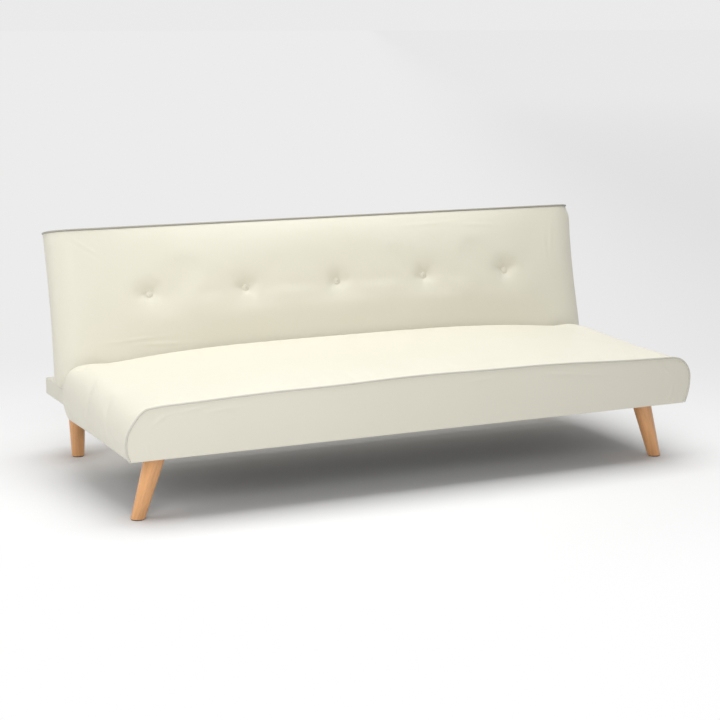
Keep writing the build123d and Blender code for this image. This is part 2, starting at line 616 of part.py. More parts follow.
def make_back_upholstery():
    """Foam, cover, panels and piping of the backrest, with the tufts sewn in."""
    path, _ = back_arch(BACK_LENGTH, BACK_HALF_WIDTH, BACK_RISE_TOP, 0.0, -BACK_ROUND_R)
    piping = welt(path)
    save("back_piping", BACK_PLACE * piping)

    notches = hinge_notches()
    wide = (-FAR, FAR)
    rear = (BACK_ROUND_R - COVER_T, BACK_ROUND_R)
    lining = back_form(COVER_T, -BACK_ROUND_R - COVER_T)
    cover = back_form(0.0, -BACK_ROUND_R) & block(wide, wide, (-FAR, BACK_LENGTH - WELT_ROOM))
    cover = cover - tufts(0.0) - (lining - tufts(COVER_T)) - notches
    save("back_cover", BACK_PLACE * cover)
    side_drop = asin((BACK_ROUND_R + BACK_BULGE) / BACK_SIDE_R)
    foot_x = BACK_HALF_WIDTH - BACK_DRAW_IN - COVER_T - BACK_SIDE_R * (1 - cos(side_drop)) - PAD_GAP
    rear_panel = block((-foot_x, foot_x), rear, (PAD_GAP, BACK_LENGTH - COVER_T - SEAT_FIT))
    save("back_rear_panel", BACK_PLACE * (rear_panel - notches))
    over, floor = back_arch(BACK_LENGTH, BACK_HALF_WIDTH, BACK_RISE_TOP, WELT_ROOM, -BACK_ROUND_R)
    save("back_end_panel", BACK_PLACE * extrude(Face(Wire(over + [floor])), COVER_T, dir=(0, 0, -1)))

    padding = back_form(PAD_INSET, -BACK_ROUND_R + PAD_INSET) - tufts(PAD_INSET)
    padding = padding & block(wide, wide, (-FAR, BACK_LENGTH - WELT_ROOM))
    foam_rear = BOARD_FRONT - PAD_GAP
    front = block(wide, (-FAR, foam_rear), wide) + block(wide, wide, (-FAR, BACK_FRAME_FOOT - PAD_GAP))
    save("back_foam", BACK_PLACE * ((padding & front) - notches))
    behind = (BOARD_FRONT, FAR)
    strip = padding & block((STILE_OUTER_X + PAD_GAP, FAR), behind, (BACK_FRAME_FOOT, FAR))
    head = padding & block((-STILE_OUTER_X, STILE_OUTER_X), behind, (BACK_FRAME_TOP + PAD_GAP, FAR))
    save("back_edge_foam", *[BACK_PLACE * foam for foam in (head, strip, mirrored(strip))])


def make_buttons():
    """Covered buttons in the tufts, each tied by a cord to a disc behind the board."""
    ball_r = (TUFT_R**2 + TUFT_DEPTH**2) / (2 * TUFT_DEPTH)
    sink = ball_r - (ball_r**2 - BUTTON_R**2) ** 0.5
    dome_r = (BUTTON_R**2 + BUTTON_DOME**2) / (2 * BUTTON_DOME)
    buttons, cords, discs = [], [], []
    for x in BUTTON_XS:
        seat_y = TUFT_DEPTH - crown_front(x) - sink - SEAT_FIT
        dome_y = seat_y - BUTTON_RIM
        rim = rod((x, seat_y, BUTTON_HEIGHT), (0, -1, 0), BUTTON_R, BUTTON_RIM)
        ball = Pos(x, dome_y - BUTTON_DOME + dome_r, BUTTON_HEIGHT) * Sphere(dome_r)
        dome = ball & rod((x, dome_y, BUTTON_HEIGHT), (0, -1, 0), BUTTON_R, BUTTON_DOME)
        buttons.append(rim + dome)
        cords.append(rod((x, seat_y, BUTTON_HEIGHT), (0, 1, 0), CORD_R, BACK_FRAME_FRONT + CORD_DISC_T - seat_y))
        washer = rod((x, BACK_FRAME_FRONT, BUTTON_HEIGHT), (0, 1, 0), CORD_DISC_R, CORD_DISC_T)
        discs.append(washer - rod((x, BACK_FRAME_FRONT, BUTTON_HEIGHT), (0, 1, 0), CORD_R + SCREW_FIT, CORD_DISC_T))
    save("back_buttons", *[BACK_PLACE * b for b in buttons])
    save("button_cords", *[BACK_PLACE * c for c in cords])
    save("cord_discs", *[BACK_PLACE * d for d in discs])


def polar(radius, angle):
    """A point round the hinge axis, as y and z."""
    return PIVOT_Y + radius * cos(radians(angle)), PIVOT_Z + radius * sin(radians(angle))


def pawl_point(along, radius):
    """A point beside the toothed disc: forwards from the pawl's tooth, at a distance from the axis."""
    y, z = polar(radius, PAWL_ANGLE)
    return y + along * sin(radians(PAWL_ANGLE)), z - along * cos(radians(PAWL_ANGLE))


PAWL_BAR_R = RATCHET_R + PAWL_GAP + PAWL_TOOTH_HEIGHT
PAWL_HUB = pawl_point(PAWL_REACH, PAWL_BAR_R + PAWL_BAR / 2)
ANCHOR = (PIVOT_Y - ANCHOR_AHEAD, RAIL_TOP_Z - ANCHOR_DROP)


def bracket_screws(room=0.0):
    """Screws that hold the right-hand hinge bracket against its rail."""
    sizes = (HINGE_SCREW_R, HINGE_SCREW_LENGTH, HINGE_SCREW_HEAD_R, HINGE_SCREW_HEAD_T)
    head_x = BRACKET_X - HINGE_SCREW_HEAD_T
    z = RAIL_BOTTOM_Z + BRACKET_SCREW_HEIGHT
    return [screw((head_x, PIVOT_Y + y, z), (1, 0, 0), *sizes, room) for y in BRACKET_SCREW_OFFSETS]


def make_brackets():
    """Steel brackets on the side rails that carry the hinge pins, the pawls' studs and their springs."""
    low, high = RAIL_BOTTOM_Z + BRACKET_EDGE, RAIL_TOP_Z
    half = BRACKET_LENGTH / 2
    waist = PIVOT_Z - NECK_WAIST
    neck = [
        (PIVOT_Y - NECK_FRONT, high), (PIVOT_Y + NECK_REAR, high), (PIVOT_Y + NECK_REAR, waist),
        (PIVOT_Y + EAR_R, PIVOT_Z), (PIVOT_Y - EAR_R, PIVOT_Z), (PIVOT_Y - NECK_FRONT, waist),
    ]
    steel = block((BRACKET_X, RAIL_INNER_X), (PIVOT_Y - half, PIVOT_Y + half), (low, high))
    steel += plate(neck, BRACKET_X, RAIL_INNER_X)
    steel += disc(PIVOT_Y, PIVOT_Z, EAR_R, BRACKET_X, RAIL_INNER_X)
    steel -= disc(PIVOT_Y, PIVOT_Z, PIN_R + SCREW_FIT, BRACKET_X, RAIL_INNER_X)
    steel -= disc(*PAWL_HUB, PAWL_STUD_R + SCREW_FIT, BRACKET_X, RAIL_INNER_X)
    steel -= disc(*ANCHOR, ANCHOR_R + SCREW_FIT, BRACKET_X, RAIL_INNER_X)
    steel -= bracket_screws(SCREW_FIT)
    save_pair("hinge_bracket", steel)
    screws = bracket_screws()
    save("bracket_screws", *screws, *[mirrored(s) for s in screws])

    head_x = ARM_INNER_X - RUN_FIT
    pin = disc(PIVOT_Y, PIVOT_Z, PIN_R, head_x - PIN_HEAD_T, RAIL_INNER_X + PIN_HEAD_T)
    pin += disc(PIVOT_Y, PIVOT_Z, PIN_HEAD_R, head_x - PIN_HEAD_T, head_x)
    pin += disc(PIVOT_Y, PIVOT_Z, PIN_HEAD_R, RAIL_INNER_X, RAIL_INNER_X + PIN_HEAD_T)
    save("hinge_pins", pin, mirrored(pin))
    washer = disc(PIVOT_Y, PIVOT_Z, WASHER_R, BRACKET_X - WASHER_T, BRACKET_X)
    washer -= disc(PIVOT_Y, PIVOT_Z, PIN_R + RUN_FIT, BRACKET_X - WASHER_T, BRACKET_X)
    save("hinge_washers", washer, mirrored(washer))

    stud = disc(*PAWL_HUB, PAWL_STUD_R, head_x - PLATE_T / 2, RAIL_INNER_X)
    stud += disc(*PAWL_HUB, PAWL_HUB_R, head_x - PLATE_T / 2, head_x)
    anchor = disc(*ANCHOR, ANCHOR_R, ARM_INNER_X, RAIL_INNER_X)
    save("bracket_studs", *[s for one in (stud, anchor) for s in (one, mirrored(one))])


def make_arms():
    """Steel arms on the backrest's stiles, each with a notched disc round the hinge pin."""
    mid = (BACK_FRAME_FRONT + BACK_FRAME_REAR) / 2
    near, far = mid - ARM_WIDTH / 2, mid + ARM_WIDTH / 2
    root = radians(ARM_ROOT_ANGLE)
    bar = [
        (far, ARM_LENGTH), (near, ARM_LENGTH), (near, BACK_FRAME_FOOT - PAD_GAP),
        (0, RATCHET_R), (RATCHET_R * cos(root), RATCHET_R * sin(root)), (far, BACK_FRAME_FOOT / 2),
    ]
    steel = plate(bar, ARM_INNER_X, ARM_OUTER_X) + disc(0, 0, RATCHET_R, ARM_INNER_X, ARM_OUTER_X)
    steel -= disc(0, 0, PIN_R + RUN_FIT, ARM_INNER_X, ARM_OUTER_X)
    steel -= arm_screws(SCREW_FIT) + back_frame_screws(SCREW_FIT)
    arm = BACK_PLACE * steel
    width = PAWL_TOOTH_WIDTH / 2 + NOTCH_TOOTH_ROOM
    depth = PAWL_TOOTH_HEIGHT + NOTCH_TOOTH_ROOM
    tooth_gap = block((ARM_INNER_X, ARM_OUTER_X), (RATCHET_R - depth, RATCHET_R + depth), (-width, width))
    for turn in LOCK_ANGLES:
        arm -= Pos(0, PIVOT_Y, PIVOT_Z) * Rot(PAWL_ANGLE - turn, 0, 0) * tooth_gap
    save_pair("hinge_arm", arm)
    screws = arm_screws()
    save("arm_screws", *[BACK_PLACE * s for s in screws + [mirrored(s) for s in screws]])


def make_pawls():
    """Pawls that drop into the notches, resting just clear of them, each over a flat spring."""
    half = PAWL_TOOTH_WIDTH / 2
    outer_r = PAWL_BAR_R + PAWL_BAR
    bar = [
        pawl_point(-half, RATCHET_R + PAWL_GAP), pawl_point(half, RATCHET_R + PAWL_GAP),
        pawl_point(half, PAWL_BAR_R), pawl_point(PAWL_REACH, PAWL_BAR_R),
        pawl_point(PAWL_REACH, outer_r), pawl_point(-half, outer_r),
    ]
    pawl = plate(bar, ARM_INNER_X, ARM_OUTER_X) + disc(*PAWL_HUB, PAWL_HUB_R, ARM_INNER_X, ARM_OUTER_X)
    save_pair("pawl", pawl - disc(*PAWL_HUB, PAWL_STUD_R + RUN_FIT, ARM_INNER_X, ARM_OUTER_X))

    under = pawl_point(PAWL_TOOTH_WIDTH, outer_r + SEAT_FIT)
    tip = pawl_point(0, outer_r + SEAT_FIT)
    strip = [
        tip, under, (ANCHOR[0], ANCHOR[1] + LEAF_CURL_R), (ANCHOR[0], ANCHOR[1] + LEAF_CURL_R - LEAF_T),
        (under[0], under[1] - LEAF_T), (tip[0], tip[1] - LEAF_T),
    ]
    leaf = plate(strip, ARM_INNER_X, ARM_OUTER_X) + disc(*ANCHOR, LEAF_CURL_R, ARM_INNER_X, ARM_OUTER_X)
    leaf -= disc(*ANCHOR, ANCHOR_R + SCREW_FIT, ARM_INNER_X, ARM_OUTER_X)
    save("pawl_springs", leaf, mirrored(leaf))


os.makedirs("parts", exist_ok=True)
make_legs()
make_base_frame()
make_springs()
make_seat_upholstery()
make_tail_covers()
make_back_frame()
make_back_upholstery()
make_buttons()
make_brackets()
make_arms()
make_pawls()
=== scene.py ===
"""Sofa bed: upholstery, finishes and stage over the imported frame, laid out as an add-on."""

import math

import bpy
from mathutils import Matrix, Vector


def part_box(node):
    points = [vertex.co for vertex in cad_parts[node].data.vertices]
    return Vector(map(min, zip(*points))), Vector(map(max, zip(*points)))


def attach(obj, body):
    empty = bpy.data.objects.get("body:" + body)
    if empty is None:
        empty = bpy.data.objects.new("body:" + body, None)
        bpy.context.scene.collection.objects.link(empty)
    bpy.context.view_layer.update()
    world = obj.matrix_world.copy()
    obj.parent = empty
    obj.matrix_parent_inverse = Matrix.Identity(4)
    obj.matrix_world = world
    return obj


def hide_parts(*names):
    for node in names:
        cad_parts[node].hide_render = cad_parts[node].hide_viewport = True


bl_info = {
    "name": "Sofa Bed Upholstery",
    "version": (1, 0, 0),
    "blender": (4, 5, 0),
    "location": "View3D > Sidebar > Sofa Bed",
    "description": "Dresses the sofa bed's frame in leatherette, beech and steel and sets its stage",
    "category": "Object",
}

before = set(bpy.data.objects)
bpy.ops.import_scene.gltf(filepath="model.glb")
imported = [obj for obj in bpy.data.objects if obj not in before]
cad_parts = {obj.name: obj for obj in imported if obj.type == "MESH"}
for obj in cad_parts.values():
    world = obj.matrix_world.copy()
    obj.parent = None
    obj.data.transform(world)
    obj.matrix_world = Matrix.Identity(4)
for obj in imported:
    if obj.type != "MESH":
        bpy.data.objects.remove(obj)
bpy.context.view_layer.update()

# Corners of the frame's nodes, in metres
SEAT_LOW, SEAT_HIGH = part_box("seat_cover")
PANEL_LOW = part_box("seat_front_panel")[0]
RAIL_LOW, RAIL_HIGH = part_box("side_rail_right")
DUST_LOW, DUST_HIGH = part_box("dust_cover")
TAIL_LOW, TAIL_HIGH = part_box("tail_cover_right")
BAND_LOW, BAND_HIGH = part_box("rear_rail_cover")

# The seat's section: half widths, the height of its widest place, and the radii of shoulder and side
SEAT_WIDTH = 0.897
PANEL_WIDTH = 0.894
SEAT_BULGE = 0.257
SEAT_SHOULDER = 0.066
SEAT_SIDE = 0.190
SEAT_RISE = 0.016
PANEL_RISE = 0.0155

# The backrest's section, forward and up from its hinge along its own leaning axes
PIVOT_Y = 0.17725
PIVOT_Z = 0.297
TILT = math.radians(11)
BACK_LENGTH = 0.424
BACK_WIDTH = 0.890
BACK_END_WIDTH = 0.887
BACK_BASE = -0.053
BACK_BULGE = -0.021
BACK_SHOULDER = 0.066
BACK_SIDE = 0.130
BACK_FOOT_RISE = 0.008
BACK_FULL_RISE = 0.040
BACK_TOP_RISE = 0.005
FULLEST_UP = 0.226

# Gaps in the backrest's cover for the two hinges
NOTCH_X = (0.7955, 0.820)
NOTCH_FRONT = 0.036
NOTCH_TOP = 0.0495
NOTCH_ROOM = 0.012

# Buttons: their places across and up the backrest, and how far one stands out of its hollow
BUTTON_STEP = 0.303
BUTTON_UP = 0.222
BUTTON_SPOTS = [(step * BUTTON_STEP, BUTTON_UP) for step in (-2, -1, 0, 1, 2)]
BUTTON_PROUD = 0.0056

# Seams: how far end panels stay inside them, how far sides draw in between corners, and the top seam's gap
SHOULDER_INSET = 0.001
DRAWN_IN = 0.004
SEAM_GAP = 0.0033

# Covers: how far they stay clear of what carries them, a wrap's rounded edge and the dust cloth's thickness
CLEARANCE = 0.0003
WRAP_ROUND = 0.004
DUST_THICKNESS = 0.0006

# Where the leg block begins and the hinge bracket ends behind the seat
BLOCK_FRONT = 0.3283
BRACKET_REAR = 0.2292

# Shares of a crown's half width, from its edge to its middle
CROWN_STEPS = 76
EVEN_CROWN = [1 - step / CROWN_STEPS for step in range(CROWN_STEPS + 1)]
COARSE_CROWN = EVEN_CROWN[::2]
BACK_CROWN_STEPS = 78

# The simulated cloth's steps and stiffness, and the angle that a soft piece is shaded smooth below
CLOTH_STEPS = 20
CLOTH_STIFFNESS = 12.0
SOFT_ANGLE = 60

# Soft folds: place across, place along, half length, half width, turn in degrees and height
PANEL_FOLDS = (
    (-0.70, 0.309, 0.050, 0.009, 7, 0.0020),
    (-0.62, 0.300, 0.060, 0.010, 3, 0.0014),
    (-0.79, 0.292, 0.030, 0.009, 32, 0.0014),
    (-0.30, 0.313, 0.070, 0.010, -3, 0.0009),
    (0.18, 0.312, 0.060, 0.010, 3, 0.0009),
    (0.44, 0.306, 0.060, 0.010, -3, 0.0018),
    (0.52, 0.296, 0.050, 0.010, -6, 0.0013),
    (0.80, 0.296, 0.035, 0.008, -38, 0.0012),
    (0.83, 0.215, 0.030, 0.007, 75, 0.0010),
    (-0.83, 0.212, 0.030, 0.007, -72, 0.0009),
)
SEAT_FOLDS = (
    (-0.70, 0.06, 0.06, 0.010, 24, 0.0012),
    (-0.62, 0.03, 0.07, 0.010, 12, 0.0010),
    (-0.52, 0.07, 0.08, 0.009, 5, 0.0008),
    (0.55, 0.06, 0.08, 0.010, -10, 0.0008),
    (0.70, 0.02, 0.05, 0.010, -28, 0.0009),
    (-0.78, -0.38, 0.05, 0.009, 40, 0.0009),
    (0.30, -0.40, 0.07, 0.009, 4, 0.0007),
)
BACK_FOLDS = (
    (-0.66, 0.090, 0.09, 0.008, 3, 0.0011),
    (-0.58, 0.072, 0.07, 0.008, -2, 0.0010),
    (0.79, 0.315, 0.05, 0.008, 84, 0.0014),
    (0.765, 0.290, 0.04, 0.008, 95, 0.0010),
    (-0.79, 0.372, 0.05, 0.008, -35, 0.0009),
    (0.35, 0.385, 0.10, 0.009, 2, 0.0007),
    (0.50, 0.375, 0.08, 0.009, -3, 0.0007),
)

# Each finish of the frame and the nodes that wear it, and a front leg's lean in degrees
NODE_FINISHES = {
    "beech_front_left": ("leg_front_left",),
    "beech_front_right": ("leg_front_right",),
    "beech_rear": ("leg_rear_left", "leg_rear_right"),
    "timber_across": ("front_rail", "middle_rail", "rear_rail", "back_bottom_rail", "back_top_rail"),
    "timber_deep": ("side_rail_left", "side_rail_right", "centre_stretcher", "leg_blocks"),
    "timber_upright": ("back_stiles", "back_middle_stiles"),
    "hardboard": ("back_board",),
    "plywood": ("deck_front_strip", "deck_rear_strip", "deck_side_strips"),
    "black_hinge_steel": (
        "hinge_arm_left", "hinge_arm_right", "hinge_bracket_left", "hinge_bracket_right",
        "pawl_left", "pawl_right",
    ),
    "zinc_plate": (
        "arm_screws", "back_frame_screws", "bracket_screws", "bracket_studs", "deck_screws", "frame_screws",
        "hanger_bolts", "hinge_pins", "hinge_washers", "leg_plate_screws", "leg_plates", "pawl_springs",
        "seat_springs", "spring_clips",
    ),
    "glide_plastic_dark": ("cord_discs", "foot_glides"),
    "waxed_twine": ("button_cords",),
    "pressed_felt": ("felt_pad",),
}
LEG_LEAN = 17.6

# Places of the colour sockets on a mix node
MIX_SHARE = 0
MIX_FIRST = 6
MIX_SECOND = 7
MIX_RESULT = 2

# The stage: each lamp's name, place, target, width and depth, and power in watts
LAMPS = (
    ("overhead_softbox", (0.0, -0.2, 3.1), (0, -0.1, 0.3), (3.6, 2.4), 81),
    ("front_softbox", (-1.7, -2.7, 1.5), (-0.3, -0.1, 0.25), (1.6, 1.6), 27),
    ("left_softbox", (-3.0, -0.1, 1.7), (0, -0.1, 0.25), (2.0, 1.5), 15),
)

# The floor's directions away from the camera and across its view, and the shape of its lamplit middle,
# beyond which it shows painted light
FLOOR_SIZE = 600
FLOOR_AWAY = (0.43, 0.90, 0)
FLOOR_ASIDE = (0.90, -0.43, 0)
FLOOR_OVAL = (1.0, 1 / 1.1, 0)

# The sky's light, the backdrop and the camera, with angles in radians
SKY_COLOUR = (1.0, 0.998, 0.992, 1)
SKY_STRENGTH = 0.335
BACKDROP = (0.825, 0.825, 0.825, 1)
CAMERA_SPOT = (-2.2587, -4.7681, 1.3133)
CAMERA_PITCH = 0.1889
CAMERA_YAW = -0.4432
CAMERA_LENS = 88.02
CAMERA_SENSOR = 36
CAMERA_REACH = 1000


def length(name, description, default):
    """A size in metres that a user may change."""
    return bpy.props.FloatProperty(name=name, description=description, default=default, unit="LENGTH")


def shade(name, description, default):
    """A colour that a user may change."""
    return bpy.props.FloatVectorProperty(
        name=name, description=description, default=default, size=3, subtype="COLOR"
    )


class SofaSizes(bpy.types.PropertyGroup):
    """Sizes of the upholstery that the frame leaves open."""

    seat_swell: length("Seat swell", "Most that a point of the seat may swell", 0.007)
    seat_fullness: bpy.props.FloatProperty(
        name="Seat fullness",
        description="Power of the seat's crown: 2 is round, 4 is flat in the middle",
        default=3.4,
    )
    seat_start: length("Seat start", "How far the seat's crown starts below the frame's", 0.006)
    back_swell: length("Backrest swell", "Most that a point of the backrest may swell", 0.006)
    back_start: length("Backrest start", "How far the backrest's crown starts behind the frame's", 0.006)
    panel_swell: length("Panel swell", "How far the front panel pillows out", 0.006)
    cover_depth: length("Cover depth", "Leatherette with its bonded wadding", 0.005)
    hide: length("Leatherette", "Thickness of the bare leatherette", 0.0015)
    welt: length("Welt radius", "Radius of the piping in the seams", 0.003)
    tuft_depth: length("Tuft depth", "How far a button pulls the backrest in", 0.018)
    tuft_reach: length("Tuft reach", "Radius of the hollow round a button", 0.068)
    button: length("Button radius", "Radius of a covered button", 0.011)


class SofaColours(bpy.types.PropertyGroup):
    """Colours of the finishes."""

    leatherette: shade("Leatherette", "Cream leatherette", (0.775, 0.75, 0.645))
    # The seat welt's greige, darker than the leatherette round it, is painted shade for the shadow line
    # along the front seam
    seat_welt: shade("Seat welt", "Greige piping of the seat", (0.61, 0.59, 0.52))
    # The backrest welt is a much darker copy of the same piping: painted shade for the shadowed top seam
    back_welt: shade("Backrest welt", "Darker piping of the backrest", (0.38, 0.37, 0.33))
    beech: shade("Beech", "Varnished legs", (0.77, 0.395, 0.168))
    timber: shade("Frame timber", "Raw frame timber", (0.60, 0.44, 0.27))
    steel: shade("Black steel", "Powder-coated hinge parts", (0.022, 0.022, 0.024))
    zinc: shade("Zinc", "Plated screws and springs", (0.62, 0.63, 0.64))
    floor: shade("Floor", "Studio floor", (0.89, 0.89, 0.89))


def sizes():
    return bpy.context.scene.sofa_sizes


def colours():
    return bpy.context.scene.sofa_colours


def deselect():
    """Leaves edit mode with nothing selected."""
    active = bpy.context.view_layer.objects.active
    if active and active.mode != "OBJECT":
        bpy.ops.object.mode_set(mode="OBJECT")
    bpy.ops.object.select_all(action="DESELECT")


def take(piece):
    """Makes one piece the only selected one."""
    deselect()
    piece.select_set(True)
    bpy.context.view_layer.objects.active = piece


def new_piece(name):
    """The object that was just added, under its own name."""
    piece = bpy.context.object
    piece.name = piece.data.name = name
    return piece


def pick(piece, kind, test):
    """Opens the piece in edit mode with the edges or faces selected whose middle passes the test."""
    take(piece)
    mesh = piece.data
    bpy.context.tool_settings.mesh_select_mode = (False, kind == "EDGE", kind == "FACE")
    for item in (*mesh.vertices, *mesh.edges, *mesh.polygons):
        item.select = False
    if kind == "EDGE":
        for edge in mesh.edges:
            ends = [mesh.vertices[i].co for i in edge.vertices]
            edge.select = test((ends[0] + ends[1]) / 2)
    else:
        for face in mesh.polygons:
            face.select = test(face.center)
    bpy.ops.object.mode_set(mode="EDIT")


def pull_edges(piece, test, move):
    """Extrudes the edges whose middle passes the test."""
    pick(piece, "EDGE", test)
    bpy.ops.mesh.extrude_edges_move(TRANSFORM_OT_translate={"value": move})
    bpy.ops.object.mode_set(mode="OBJECT")


def cut_faces(piece, test):
    """Deletes the faces whose middle passes the test."""
    pick(piece, "FACE", test)
    bpy.ops.mesh.delete(type="FACE")
    bpy.ops.object.mode_set(mode="OBJECT")


def open_all(piece):
    """Opens the piece in edit mode with all of it selected."""
    take(piece)
    bpy.ops.object.mode_set(mode="EDIT")
    bpy.ops.mesh.select_all(action="SELECT")


def use(piece, kind, **settings):
    """Adds a modifier with its settings and applies it."""
    take(piece)
    bpy.ops.object.modifier_add(type=kind)
    modifier = piece.modifiers[-1]
    for name, value in settings.items():
        setattr(modifier, name, value)
    bpy.ops.object.modifier_apply(modifier=modifier.name)


def refine(piece):
    use(piece, "SUBSURF", levels=1, render_levels=1)


def thicken(piece, thickness, **settings):
    """Gives a sheet its thickness, inwards from its face."""
    use(piece, "SOLIDIFY", thickness=thickness, offset=-1.0, **settings)


def close_seams(piece, distance=0.0002):
    """Merges points that coincide and points the faces outwards."""
    open_all(piece)
    bpy.ops.mesh.remove_doubles(threshold=distance)
    bpy.ops.mesh.normals_make_consistent(inside=False)
    bpy.ops.object.mode_set(mode="OBJECT")


def turn_out(piece, towards):
    """Turns a sheet's faces so that most of them look along the given direction."""
    if sum(face.area * face.normal.dot(towards(face.center)) for face in piece.data.polygons) < 0:
        open_all(piece)
        bpy.ops.mesh.flip_normals()
        bpy.ops.object.mode_set(mode="OBJECT")


def smooth(piece, angle=40):
    take(piece)
    bpy.ops.object.shade_smooth_by_angle(angle=math.radians(angle))


def grid(name, columns, rows, place):
    """A grid of columns by rows points, each moved to place(column, row)."""
    deselect()
    bpy.ops.mesh.primitive_grid_add(x_subdivisions=columns - 1, y_subdivisions=rows - 1, size=2)
    piece = new_piece(name)
    for point in piece.data.vertices:
        column = round((point.co.x + 1) / 2 * (columns - 1))
        row = round((point.co.y + 1) / 2 * (rows - 1))
        point.co = place(column, row)
    return piece


def grid_points(piece, columns, test):
    """Indexes of a grid's points whose column and row pass the test."""
    count = len(piece.data.vertices)
    return [index for index in range(count) if test(index % columns, index // columns)]


def settle(piece, held, outwards, pressure, cap, slack=0.0, room=None):
    """Swells the piece as filled cloth with its seams held, and keeps every point near where it began."""
    piece.vertex_groups.new(name="seams").add(held, 1.0, "REPLACE")
    close_seams(piece)
    turn_out(piece, outwards)
    home = [point.co.copy() for point in piece.data.vertices]
    take(piece)
    bpy.ops.object.modifier_add(type="CLOTH")
    cloth = piece.modifiers[-1]
    cloth.collision_settings.use_collision = False
    settings = cloth.settings
    settings.quality = 5
    settings.mass = 0.4
    settings.tension_stiffness = CLOTH_STIFFNESS
    settings.compression_stiffness = CLOTH_STIFFNESS
    settings.shear_stiffness = CLOTH_STIFFNESS / 2
    settings.bending_stiffness = 2.0
    settings.use_pressure = True
    settings.uniform_pressure_force = pressure
    settings.shrink_min = -slack
    settings.effector_weights.gravity = 0
    settings.vertex_group_mass = "seams"
    for step in range(1, CLOTH_STEPS + 1):
        bpy.context.scene.frame_set(step)
    bpy.ops.object.modifier_apply(modifier=cloth.name)
    bpy.context.scene.frame_set(1)
    furthest = 0.0
    for point, start in zip(piece.data.vertices, home):
        moved = point.co - start
        most = cap if room is None else min(cap, room(start))
        furthest = max(furthest, moved.length)
        if moved.length > 1e-6:
            point.co = start + moved * (most * math.tanh(moved.length / most) / moved.length)
    if furthest < cap / 4:
        raise RuntimeError(f"{piece.name} did not swell")
    piece.vertex_groups.clear()


def crease(piece, spread, folds):
    """Presses soft folds into a sheet, each fading out within 2.5 times its half length and half width."""
    normals = [point.normal.copy() for point in piece.data.vertices]
    for point, normal in zip(piece.data.vertices, normals):
        a, b = spread(point.co)
        lift = 0.0
        for place_a, place_b, half_length, half_width, turn, height in folds:
            turn = math.radians(turn)
            p = (a - place_a) * math.cos(turn) + (b - place_b) * math.sin(turn)
            q = (b - place_b) * math.cos(turn) - (a - place_a) * math.sin(turn)
            if abs(p) < 2.5 * half_length and abs(q) < 2.5 * half_width:
                fade = math.exp(-((p / half_length) ** 2) - (q / half_width) ** 2)
                lift += height * fade * math.cos(2.2 * q / half_width)
        point.co += normal * lift


def made_finish(name):
    material = bpy.data.materials.get(name)
    if material is None:
        raise RuntimeError(f"finish {name} isn't made yet")
    return material


def finish_piece(piece, body, *nodes, finish="upholstery_leatherette", slot="leatherette"):
    """Gives a piece its finish and its body, and hides the nodes that it stands for; the slot is not used.
    """
    piece.data.materials.clear()
    piece.data.materials.append(made_finish(finish))
    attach(piece, body)
    if nodes:
        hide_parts(*nodes)


def half_arch(width, base, bulge, shoulder, side, rise, power, crown):
    """Points (across, up) of a cushion's right half, from its hem to the middle of its crown."""
    side_steps = 6
    shoulder_steps = 9
    reach = width - shoulder
    radius = (reach**2 + rise**2 + 2 * shoulder * rise) / (2 * rise)
    lean = math.asin(reach / (radius - shoulder))
    drop = math.asin((bulge - base) / side)
    line = []
    for step in range(side_steps):
        angle = -drop * (1 - step / side_steps)
        line.append((width - side + side * math.cos(angle), bulge + side * math.sin(angle)))
    for step in range(shoulder_steps):
        angle = (math.pi / 2 - lean) * step / shoulder_steps
        line.append((reach + shoulder * math.cos(angle), bulge + shoulder * math.sin(angle)))
    edge = radius * math.sin(lean)
    for part in crown:
        x = edge * part
        fuller = rise * (part**2 - part**power)
        line.append((x, bulge + shoulder + rise - radius + math.sqrt(radius**2 - x**2) + fuller))
    return line


def both_halves(half):
    """The whole line from the right hem to the left one, the middle point once."""
    return half + [(-x, up) for x, up in reversed(half[:-1])]


def seat_arch(width, rise, power=2, crown=EVEN_CROWN, inset=0.0):
    """The seat's whole section before its own give."""
    shoulder = SEAT_SHOULDER - inset
    return both_halves(half_arch(width, SEAT_LOW.z, SEAT_BULGE, shoulder, SEAT_SIDE, rise, power, crown))


def half_back_arch(width, rise, power=2, crown=EVEN_CROWN, inset=0.0):
    """The right half of the backrest's section before its own give."""
    shoulder = BACK_SHOULDER - inset
    return half_arch(width, BACK_BASE, BACK_BULGE, shoulder, BACK_SIDE, rise, power, crown)


def along(line):
    """Share of the length at every point of a line."""
    run = [0.0]
    for a, b in zip(line, line[1:]):
        run.append(run[-1] + math.dist(a, b))
    return [value / run[-1] for value in run]


def walk(line, share):
    """The point at a share of a line's length."""
    marks = along(line)
    for a, b, start, stop in zip(line, line[1:], marks, marks[1:]):
        if share <= stop:
            part = (share - start) / max(stop - start, 1e-9)
            return tuple(p + (q - p) * part for p, q in zip(a, b))
    return line[-1]


def back_point(x, forward, up):
    """A point of the leaning backrest from its own forward and up."""
    return Vector((
        x,
        PIVOT_Y + up * math.sin(TILT) - forward * math.cos(TILT),
        PIVOT_Z + up * math.cos(TILT) + forward * math.sin(TILT),
    ))


def back_up(spot):
    """How far up the leaning backrest a point lies."""
    return (spot.y - PIVOT_Y) * math.sin(TILT) + (spot.z - PIVOT_Z) * math.cos(TILT)


def ease(value, start, stop):
    """Rises smoothly from 0 at the start to 1 at the stop."""
    part = min(1.0, max(0.0, (value - start) / (stop - start)))
    return part * part * (3 - 2 * part)


def bell(value, middle, reach):
    """1 at the middle, and nearly 0 beyond twice the reach."""
    return math.exp(-(((value - middle) / reach) ** 2))


